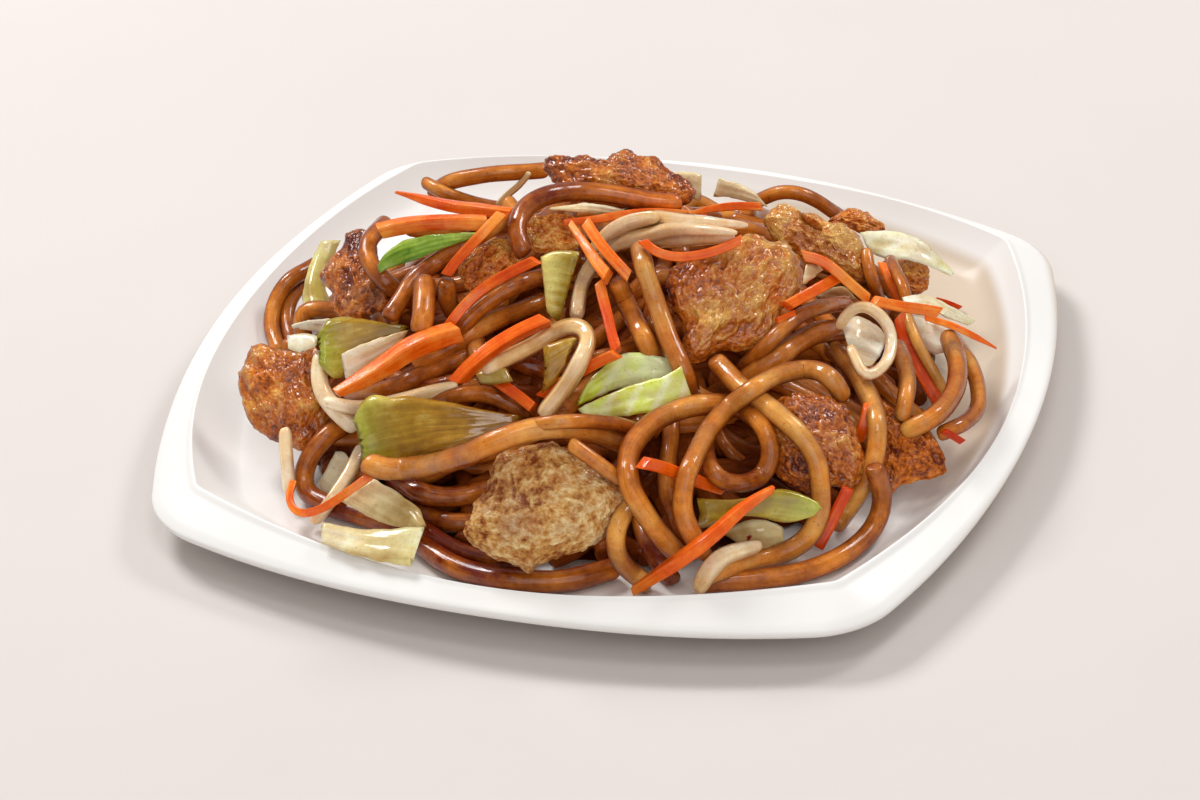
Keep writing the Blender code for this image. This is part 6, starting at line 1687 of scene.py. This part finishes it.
@dataclass(frozen=True)
class Finish:
    """Colours and gloss of one kind of food.

    Attributes:
        name: Name of the material.
        deep: Colour of thick sauce and of hollows, partly painted shade, and of the painted shade at the
            edges.
        main: Its usual colour.
        pale: Colour of its palest places.
        second: Colour that a piece's tint mixes in.
        roughness: Roughness between patches of sauce.
        coat: Weight of the wet film.
        inside: Weight of light scattered inside.
        reach: How far that light goes, in metres.
        relief: Depth of the fine relief, in metres.
        edge: How much darker it is, as painted shade, where it turns away from the eye.
        film: Roughness of the wet film.
        gloss: Strength of the reflection under the film.
    """

    name: str
    deep: tuple
    main: tuple
    pale: tuple
    second: tuple
    roughness: float = 0.36
    coat: float = 0.35
    inside: float = 0.15
    reach: float = 0.0012
    relief: float = 0.00020
    edge: float = 0.4
    film: float = 0.08
    gloss: float = 0.15

    def base(self) -> tuple[bpy.types.Material, Recipe, bpy.types.Node]:
        """A material with its constants set on the shader."""
        return new_material(self.name, {
            "Roughness": self.roughness, "Coat Weight": self.coat, "Coat Roughness": self.film,
            "Specular IOR Level": self.gloss, "Subsurface Weight": self.inside,
            "Subsurface Radius": SCATTER, "Subsurface Scale": self.reach})

    def painted_edge_shade(self, recipe: Recipe, colour: Socket) -> Socket:
        """A colour made deeper where the surface turns away from the eye: painted shade at the edges."""
        facing = recipe.node("LayerWeight").outputs["Facing"]
        return recipe.mix(recipe.times(recipe.spread(facing, 0.2, 0.92), self.edge), colour, self.deep)

    def strand(self, fibre: bpy.types.NodeTree, sauce: bpy.types.NodeTree, density: float,
               bite: float) -> bpy.types.Material:
        """A material for strands, leaves and stalks: fine lines along them under patches of sauce.

        Args:
            fibre: The group for the fine lines.
            sauce: The group for the sauce.
            density: Lines to a metre.
            bite: How much the lines change the colour.

        Returns:
            The material.
        """
        made, recipe, shader = self.base()
        grain, place = recipe.attribute("grain"), recipe.place()
        tone, wet, tint = recipe.parts(recipe.attribute("look"))
        lines = recipe.use(fibre, vector=grain, density=density, length=0.06).outputs["Lines"]
        film = recipe.use(sauce, vector=place, wet=wet)
        cloud = recipe.noise(place, 55.0, 3.0)
        fine = recipe.noise(place, 420.0, 3.0)
        level = recipe.sum((tone, 0.22), (cloud, 0.9), (lines, bite), (fine, 0.3), -0.10 - bite / 2)
        colour = recipe.ramp(level, STRAND_STOPS, self.deep, self.main, self.pale)
        dark = tuple(part * SECOND_DARK for part in self.second[:3]) + (1.0,)
        light = tuple((own + other) / 2 for own, other in zip(self.second, self.pale))
        colour = recipe.mix(tint, colour, recipe.ramp(level, STRAND_STOPS, dark, self.second, light))
        patches, specks = film.outputs
        colour = recipe.mix(recipe.times(patches, 0.35), colour, self.deep)
        colour = recipe.mix(recipe.times(specks, 0.4), colour, self.deep)
        # The base colour takes painted shade where the surface turns away from the eye.
        recipe.fill(shader, {
            "Base Color": self.painted_edge_shade(recipe, colour),
            "Roughness": recipe.sum((patches, -0.14), (fine, 0.12), self.roughness - 0.03),
            "Coat Weight": recipe.times(recipe.sum((patches, 1.3), 1.0), self.coat)})
        height = recipe.sum((lines, 0.6), (fine, 0.3), (cloud, 0.5))
        recipe.fill(shader, {"Normal": recipe.bump(height, self.relief),
                             "Coat Normal": recipe.bump(height, self.relief * FILM_RELIEF)})
        return made

    def crust(self, sauce: bpy.types.NodeTree, crumb: float) -> bpy.types.Material:
        """Fried chicken: sauce and painted shade in its creases, paler crumbs and painted highlight on its
        ridges.

        Args:
            sauce: The group for the sauce.
            crumb: How strongly crumbs stand out.

        Returns:
            The material.
        """
        made, recipe, shader = self.base()
        folds, lumps, crumbs = recipe.parts(recipe.attribute("grain"))
        place = recipe.place()
        tone, wet, tint = recipe.parts(recipe.attribute("look"))
        patches = recipe.use(sauce, vector=place, wet=wet).outputs["Patches"]
        cloud = recipe.noise(place, 110.0, 4.0, 0.6)
        fine = recipe.noise(place, 950.0, 3.0, 0.6)
        grit = recipe.cells(place, 1500.0)
        stain = recipe.noise(place, 60.0, 2.0)
        # Creases darken and ridges and crumbs lighten the colour: partly sauce, partly painted shade and
        # painted highlight.
        level = recipe.sum((tone, 0.25), (folds, 0.27), (lumps, 0.12), (crumbs, 0.9 * crumb), (cloud, 0.8),
                           (fine, 0.4), (stain, 0.8), -0.34)
        colour = recipe.ramp(level, CRUST_STOPS, self.deep, self.main, self.pale)
        colour = recipe.mix(recipe.times(recipe.spread(cloud, 0.45, 0.7), tint), colour, self.second)
        colour = recipe.mix(recipe.times(patches, 0.3), colour, self.deep)
        # The base colour takes painted shade where the surface turns away from the eye.
        recipe.fill(shader, {
            "Base Color": self.painted_edge_shade(recipe, colour),
            "Roughness": recipe.sum((patches, -0.25), (fine, 0.2), self.roughness - 0.05),
            "Coat Weight": recipe.sum((patches, 0.7), self.coat)})
        height = recipe.sum((fine, 0.8), (grit, 0.5 * crumb), (cloud, 0.7))
        recipe.fill(shader, {"Normal": recipe.bump(height, self.relief)})
        return made


class Pantry:
    """Every food material, made once."""

    def __init__(self) -> None:
        """Builds the shared node groups and the materials by kind."""
        fibre, sauce = fibre_group(), sauce_group()
        # Each finish's edge sets how strong its painted shade is where the surface turns away from the eye.
        self.by_kind = {
            NOODLE: Finish(
                "sauced_noodle", linear(104, 27, 2), linear(214, 126, 37), linear(246, 188, 96),
                linear(240, 116, 24), relief=0.00022, edge=0.85).strand(fibre, sauce, 1700.0, 0.22),
            CARROT: Finish(
                "carrot", linear(206, 58, 4), linear(242, 108, 16), linear(255, 180, 80),
                linear(196, 38, 6), roughness=0.33, coat=0.2, inside=0.2, reach=0.001,
                edge=0.35).strand(fibre, sauce, 1500.0, 0.5),
            SPROUT: Finish(
                "bean_sprout", linear(196, 134, 60), linear(240, 206, 146), linear(255, 243, 216),
                linear(206, 160, 90), coat=0.6, inside=0.3, reach=0.002).strand(fibre, sauce, 1500.0, 0.4),
            CABBAGE: Finish(
                "cabbage", linear(172, 128, 66), linear(228, 208, 162), linear(252, 250, 232),
                linear(208, 230, 44), inside=0.3, reach=0.002, edge=0.15).strand(fibre, sauce, 420.0, 0.6),
            CELERY: Finish(
                "celery", linear(124, 76, 10), linear(178, 132, 36), linear(236, 222, 130),
                linear(160, 178, 56), roughness=0.25, inside=0.2,
                reach=0.002).strand(fibre, sauce, 900.0, 0.4),
            LEAF: Finish(
                "green_leaf", linear(60, 100, 12), linear(138, 166, 48), linear(206, 224, 120),
                linear(150, 190, 70), roughness=0.3, inside=0.1, edge=0.2).strand(fibre, sauce, 700.0, 0.9),
            CHICKEN: Finish(
                "seared_chicken", linear(100, 28, 2), linear(216, 116, 30), linear(252, 192, 94),
                linear(240, 206, 150), roughness=0.42, relief=0.0009, edge=0.5, film=0.10,
                gloss=0.08).crust(sauce, 0.5),
            BATTERED: Finish(
                "battered_chicken", linear(138, 62, 16), linear(212, 154, 80), linear(246, 220, 162),
                linear(176, 92, 40), roughness=0.5, coat=0.15, relief=0.0009).crust(sauce, 0.8),
        }
        # A near-black brown with no coat for the core and the deepest noodles: painted shade for the dark
        # gaps deep in the heap.
        self.depths = Finish(
            "sauce_depths", linear(58, 18, 3), linear(112, 48, 10), linear(164, 88, 28), linear(60, 20, 4),
            coat=0.0, gloss=0.04).strand(fibre, sauce, 1700.0, 0.4)
        self.glaze = self.make_glaze()

    def make_glaze(self) -> bpy.types.Material:
        """Glazed white porcelain, faintly uneven, with thin sauce under the heap, a painted reflection of
        the food round it and a painted shadow of the heap.
        """
        made, recipe, shader = new_material("white_glaze", {})
        place = recipe.place()
        cloud = recipe.noise(place, 22.0, 2.0)
        white = recipe.mix(cloud, linear(241, 239, 236), linear(233, 230, 226))
        away = recipe.node("VectorMath", operation="LENGTH")
        flat = recipe.vector_math("MULTIPLY", place, (1.0, 1.0, 0.0)).outputs[0]
        away = recipe.fill(away, {0: flat}).outputs["Value"]
        patchy = recipe.noise(place, 130.0, 4.0, 0.6)
        under = recipe.spread(recipe.sum((away, 1.0), (patchy, POOL_STRAY)), *POOL)
        # Painted reflection of the food's orange-brown colour on the glaze, in patches round the heap.
        food_reflection = recipe.times(recipe.spread(patchy, 0.60, 0.74), recipe.spread(away, *FOOD_REFLECTION_RING))
        white = recipe.mix(recipe.times(food_reflection, 0.35), white, linear(214, 160, 96))
        # Painted shadow of the heap: greyish beige on the floor and lower wall to one side of it.
        across = recipe.vector_math("DOT_PRODUCT", place, HEAP_SHADOW_WAY).outputs["Value"]
        painted_shadow = recipe.times(recipe.spread(across, *HEAP_SHADOW),
                            recipe.spread(recipe.parts(place)[2], *HEAP_SHADOW_HEIGHTS))
        white = recipe.mix(recipe.times(painted_shadow, 0.9), white, linear(200, 180, 156))
        recipe.fill(shader, {
            "Base Color": recipe.mix(recipe.times(under, 0.85), white, linear(150, 78, 26)),
            "Roughness": recipe.spread(recipe.noise(place, 60.0), 0.3, 0.7, 0.34, 0.42),
            "Specular IOR Level": 0.3, "Coat Weight": 0.08, "Coat Roughness": 0.2,
            "Normal": recipe.bump(cloud, 0.00015)})
        return made


# ---- the object
Level = float | Callable[[Array], Array]
RIM_ROUNDING, FOOT_LIFT, BASE_RISE, MIDDLE = 0.0003, 0.0004, 0.0008, (0.001, 0.0002, 0.0004)
WELL = (0.0, 0.0001, 0.0002)


def below(height: Callable[[Array], Array], *drops: tuple[float, float]) -> Iterator[tuple[float, Level]]:
    """Shares of the way, each with a drop from an edge or a ridge that isn't level."""
    for share, drop in drops:
        yield share, lambda corner, fall=drop: height(corner) - fall


@dataclass(frozen=True)
class Plate:
    """The square white plate: bowed square contours from the foot ring to the edge and in to the floor.

    Attributes:
        side_steps: Points along one side of a contour.
        corner_steps: Points round one corner.
    """

    side_steps: int = 40
    corner_steps: int = 16

    def rows(self, start: Plan, end: Plan, places: Iterable[tuple[float, Level]]) -> list[Array]:
        """Contours at shares of the way between two others, each with its height."""
        made = []
        for share, level in places:
            plan = tuple(a + (b - a) * share for a, b in zip(start, end))
            flat = contour(plan, self.side_steps, self.corner_steps)
            height = level(corner_share(*flat.T)) if callable(level) else np.full(len(flat), level)
            made.append(np.column_stack((flat, height)))
        return made

    def rings(self) -> Array:
        """All contours in order, from under the middle round the foot and the edge to the floor."""
        foot_inner = (FOOT[0] - FOOT_WIDTH, FOOT[1], FOOT[2] - FOOT_ROUNDING)
        under = FLOOR_HEIGHT - BASE_THICKNESS

        def slope(share: float) -> Level:
            """Height between the edge and the ridge, a little hollow where they meet."""
            return lambda corner: (edge_height(corner) * (1 - share) + ridge_height(corner) * share
                                   + RIM_ROUNDING * (1 - share) - RIM_ROUNDING * share)

        def wall(share: float) -> Level:
            """Height of the hollow wall between the floor and the ridge."""
            return lambda corner: FLOOR_HEIGHT + (ridge_height(corner) - FLOOR_HEIGHT) * wall_rise(share)

        steep = (0.985, *np.linspace(0.95, 0.0, 22))
        return np.stack(
            self.rows(MIDDLE, foot_inner, ((0.0, under), (0.5, under), (0.93, under), (0.98, under)))
            + self.rows(foot_inner, FOOT, ((0.02, FOOT_LIFT), (0.16, 0.0), (0.84, 0.0), (0.98, FOOT_LIFT)))
            + self.rows(FOOT, EDGE, ((0.045, under * 0.8), (0.08, under)))
            + self.rows(FOOT, EDGE, [(share, under + BASE_RISE * share / 0.55) for share in (0.30, 0.55)])
            + self.rows(FOOT, EDGE, below(edge_height, (0.70, 0.0080), (0.80, 0.0062), (0.90, 0.0043),
                                          (0.955, LIP_THICKNESS), (0.985, 0.0021), (0.998, 0.0012)))
            + self.rows(EDGE, RIDGE, below(edge_height, (0.0, 0.0004), (0.02, 0.0), (0.06, -RIM_ROUNDING)))
            + self.rows(EDGE, RIDGE, [(share, slope(share)) for share in np.linspace(0.15, 0.90, 8)])
            + self.rows(EDGE, RIDGE, below(ridge_height, (0.94, 0.00028), (0.975, 0.00012), (1.0, 0.0)))
            + self.rows(FLOOR, RIDGE, [(share, wall(share)) for share in steep])
            + self.rows(WELL, FLOOR, [(share, FLOOR_HEIGHT) for share in (0.9, 0.7, 0.4, 0.15, 0.02)]))

    def build(self, dress: bpy.types.Material) -> None:
        """Makes the plate and puts it in the place of its node."""
        surface = closed_loft(self.rings(), None, np.zeros(3))
        attach(surface.to_object("plate_glazed", dress), "plate")


def attach(thing: bpy.types.Object, node: str) -> None:
    """Lets a piece ride on the part and stand for a node, and reports it."""
    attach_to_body(thing, "root")
    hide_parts(node)
    LOG.info("%s stands for %s: %d faces", thing.name, node, len(thing.data.polygons))


@dataclass
class Heap:
    """The noodles and everything that lies among them.

    Attributes:
        pantry: The food materials.
        pile: What has been laid so far.
        front: The view that the routes are drawn in.
    """

    pantry: Pantry
    pile: Pile = field(default_factory=Pile)
    front: Sight = field(default_factory=lambda: Sight(SIGHT_YAW, SIGHT_ROLL))

    def build(self) -> None:
        """Lays every piece as the part does, from the core up, then parts the noodles and dresses all."""
        self.core()
        sauced = self.pantry.by_kind[NOODLE]
        # The deepest noodles wear the dark painted-shade material.
        self.strewn("noodles_deep", deep_noodles(), DEEP_TONE, self.pantry.depths, DEEP_SECTION)
        under = list(under_noodles(self.pile))
        drawn = [lay_strand(piece, self.pile, self.front) if isinstance(piece, Strand) else self.lay(piece)
                 for piece in PIECES]
        far = list(far_noodles(self.pile))
        noodles = [index for index, piece in enumerate(PIECES) if piece.kind is NOODLE]
        apart = parted(under + [drawn[index] for index in noodles], self.front)
        under, apart = [dipped(laid, self.front) for laid in apart[:len(under)]], apart[len(under):]
        for index, laid in zip(noodles, apart):
            drawn[index] = dipped(laid, self.front, PIECES[index].name)
        self.strewn("noodles_under", under, UNDER_TONE, sauced, STREWN_SECTION)
        self.strewn("noodles_far", far, FAR_TONE, sauced, STREWN_SECTION)
        for piece, laid in zip(PIECES, drawn):
            self.dress(piece, laid)

    def core(self) -> None:
        """The bare core: a dome over the plate's floor, made of rings that follow its height, dark as
        painted shade.
        """
        share = np.sin(np.linspace(0.0, math.pi / 2, CORE_RINGS)[1:])
        turn = np.linspace(0.0, 2 * math.pi, CORE_AROUND, endpoint=False)
        x, y = CORE_SHOWN_RADIUS * share[:, None] * np.stack((np.cos(turn), np.sin(turn)))[:, None]
        low = FLOOR_HEIGHT + NODE_GAP
        rings = np.stack((x, y, np.maximum(core_top(x, y) - CORE_SHOWN_LOWER, low + NODE_GAP)), axis=-1)
        top = float(core_top(np.zeros(1), np.zeros(1))[0]) - CORE_SHOWN_LOWER
        made = closed_loft(rings, None, np.array(CORE_LOOK), top * UPWARDS, low * UPWARDS)
        attach(made.to_object("noodle_core", self.pantry.depths), "noodles")

    def strewn(self, name: str, laid: Iterable[Laid], tone: float, dress: bpy.types.Material,
               section: Section) -> None:
        """Noodles without a route of their own, as one piece.

        Args:
            name: Name of the piece.
            laid: Points and radii of each noodle.
            tone: How pale they are.
            dress: Their material.
            section: Their section and how finely it is followed.
        """
        surfaces = []
        for number, own in enumerate(laid):
            look = Look(tone=(tone + STREWN_SWING * math.sin(number * STREWN_TURN),))
            surfaces.append(strand_surface(own, UPWARDS, section, look, number + STREWN_SEED))
        attach(joined(surfaces).to_object(name, dress), "noodles")

    def lay(self, piece: Ribbon | Chunk) -> object:
        """Lays a leaf, a stalk or a piece of chicken."""
        laying = lay_ribbon if isinstance(piece, Ribbon) else lay_chunk
        return laying(piece, self.pile, self.front)

    def dress(self, piece: Strand | Ribbon | Chunk, laid: object) -> None:
        """Makes the mesh of a laid piece and puts it in the place of its node."""
        look, seed = LOOKS.get(piece.name, Look()), seed_of(piece.name)
        if piece.kind is NOODLE and piece.name not in LOOKS:
            base = TONES.get(piece.name, 0.0)
            look = Look(tone=tuple(base + DRAWN_SWING * math.sin(seed + place) for place in range(4)))
        if isinstance(piece, Strand):
            surface = strand_surface(laid, self.front.back, SECTIONS[piece.kind], look, seed)
            form = "strip" if piece.kind is CARROT else "strand"
        elif isinstance(piece, Ribbon):
            surface = ribbon_surface(laid, piece, self.front, BLADES[piece.kind], look, seed)
            form = "slice"
        else:
            surface = chunk_surface(piece, laid, CRUSTS.get(piece.name, Crust()), look, self.front.right)
            form = "fried"
        made = surface.to_object(f"{piece.name}_{form}", self.pantry.by_kind[piece.kind])
        attach(made, piece.node)


# ---- the studio
def placed(name: str, data: bpy.types.ID, right: Array, back: Array, place: Array) -> bpy.types.Object:
    """An object at a place in the scene, with its X axis along `right` and its Z axis along `back`."""
    thing = bpy.data.objects.new(name, data)
    turned = np.eye(4)
    turned[:3] = np.column_stack((right, np.cross(back, right), back, place))
    thing.matrix_world = Matrix(turned.tolist())
    bpy.context.scene.collection.objects.link(thing)
    return thing


@dataclass(frozen=True)
class Softbox:
    """A square light that faces the plate.

    Attributes:
        name: Its name.
        place: Where it is, as (right, away, up) of the front view, in metres.
        size: Its side in metres.
        power: Its power in watts.
    """

    name: str
    place: tuple[float, float, float]
    size: float
    power: float

    def build(self) -> None:
        """Makes the light, turned to the plate's middle."""
        data = bpy.data.lights.new(self.name, "AREA")
        data.shape, data.size, data.energy = "SQUARE", self.size, self.power
        right, away, up = self.place
        level = Sight(SIGHT_YAW, 0.0).level
        place = right * level + away * np.cross(UPWARDS, level) + up * UPWARDS
        back = unit(place - LIT_HEIGHT * UPWARDS)
        placed(self.name, data, unit(np.cross(UPWARDS, back)), back, place)


LIT_HEIGHT = 0.03          # height of the point that the lights face


class Studio:
    """Camera, pale floor and soft light."""

    lights = (
        Softbox("key", (-0.65, 0.70, 1.10), 0.46, 14.5),
        Softbox("rim", (0.80, 0.50, 1.05), 0.36, 6.0),
        Softbox("top", (0.1, -0.5, 1.6), 0.5, 4.0),
        Softbox("fill", (0.2, -1.3, 0.8), 1.3, 7.0),
    )
    floor_half, daylight = 6.0, 0.42

    def build(self) -> None:
        """Makes all of them."""
        self.camera()
        self.floor()
        for light in self.lights:
            light.build()
        world = bpy.data.worlds.new("studio")
        world.use_nodes = True
        Recipe(world.node_tree).fill(world.node_tree.nodes["Background"], {
            "Color": linear(246, 243, 240), "Strength": self.daylight})
        bpy.context.scene.world = world
        bpy.context.scene.view_settings.view_transform = "Standard"

    def camera(self) -> None:
        """The camera at the photograph's angle."""
        sight = Sight(SIGHT_YAW, SIGHT_ROLL)
        data = bpy.data.cameras.new("camera")
        data.sensor_width = 36.0
        data.lens = FOCAL_PIXELS / VIEW_SIZE[0] * data.sensor_width
        data.shift_x = (VIEW_SIZE[0] / 2 - CENTRE_PIXEL[0]) / VIEW_SIZE[0]
        data.shift_y = (CENTRE_PIXEL[1] - VIEW_SIZE[1] / 2) / VIEW_SIZE[0]
        data.clip_start, data.clip_end = 0.05, 30.0
        bpy.context.scene.camera = placed("camera", data, sight.right, sight.back, sight.eye)

    def floor(self) -> None:
        """A plain pale floor."""
        half = self.floor_half
        data = bpy.data.meshes.new("floor")
        corners = [(-half, -half, 0.0), (half, -half, 0.0), (half, half, 0.0), (-half, half, 0.0)]
        data.from_pydata(corners, [], [(0, 1, 2, 3)])
        made, recipe, shader = new_material("pale_floor", {"Roughness": 0.8})
        recipe.fill(shader, {"Base Color": recipe.mix(
            recipe.noise(recipe.place(), 9.0, 4.0), linear(206, 198, 194), linear(211, 204, 200))})
        data.materials.append(made)
        floor = bpy.data.objects.new("floor", data)
        bpy.context.scene.collection.objects.link(floor)


def main() -> None:
    """Builds the studio, the plate and the heap."""
    logging.basicConfig(level=logging.INFO, format="%(name)s: %(message)s")
    Studio().build()
    pantry = Pantry()
    Plate().build(pantry.glaze)
    Heap(pantry).build()
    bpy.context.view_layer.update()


if __name__ == "__main__":
    main()
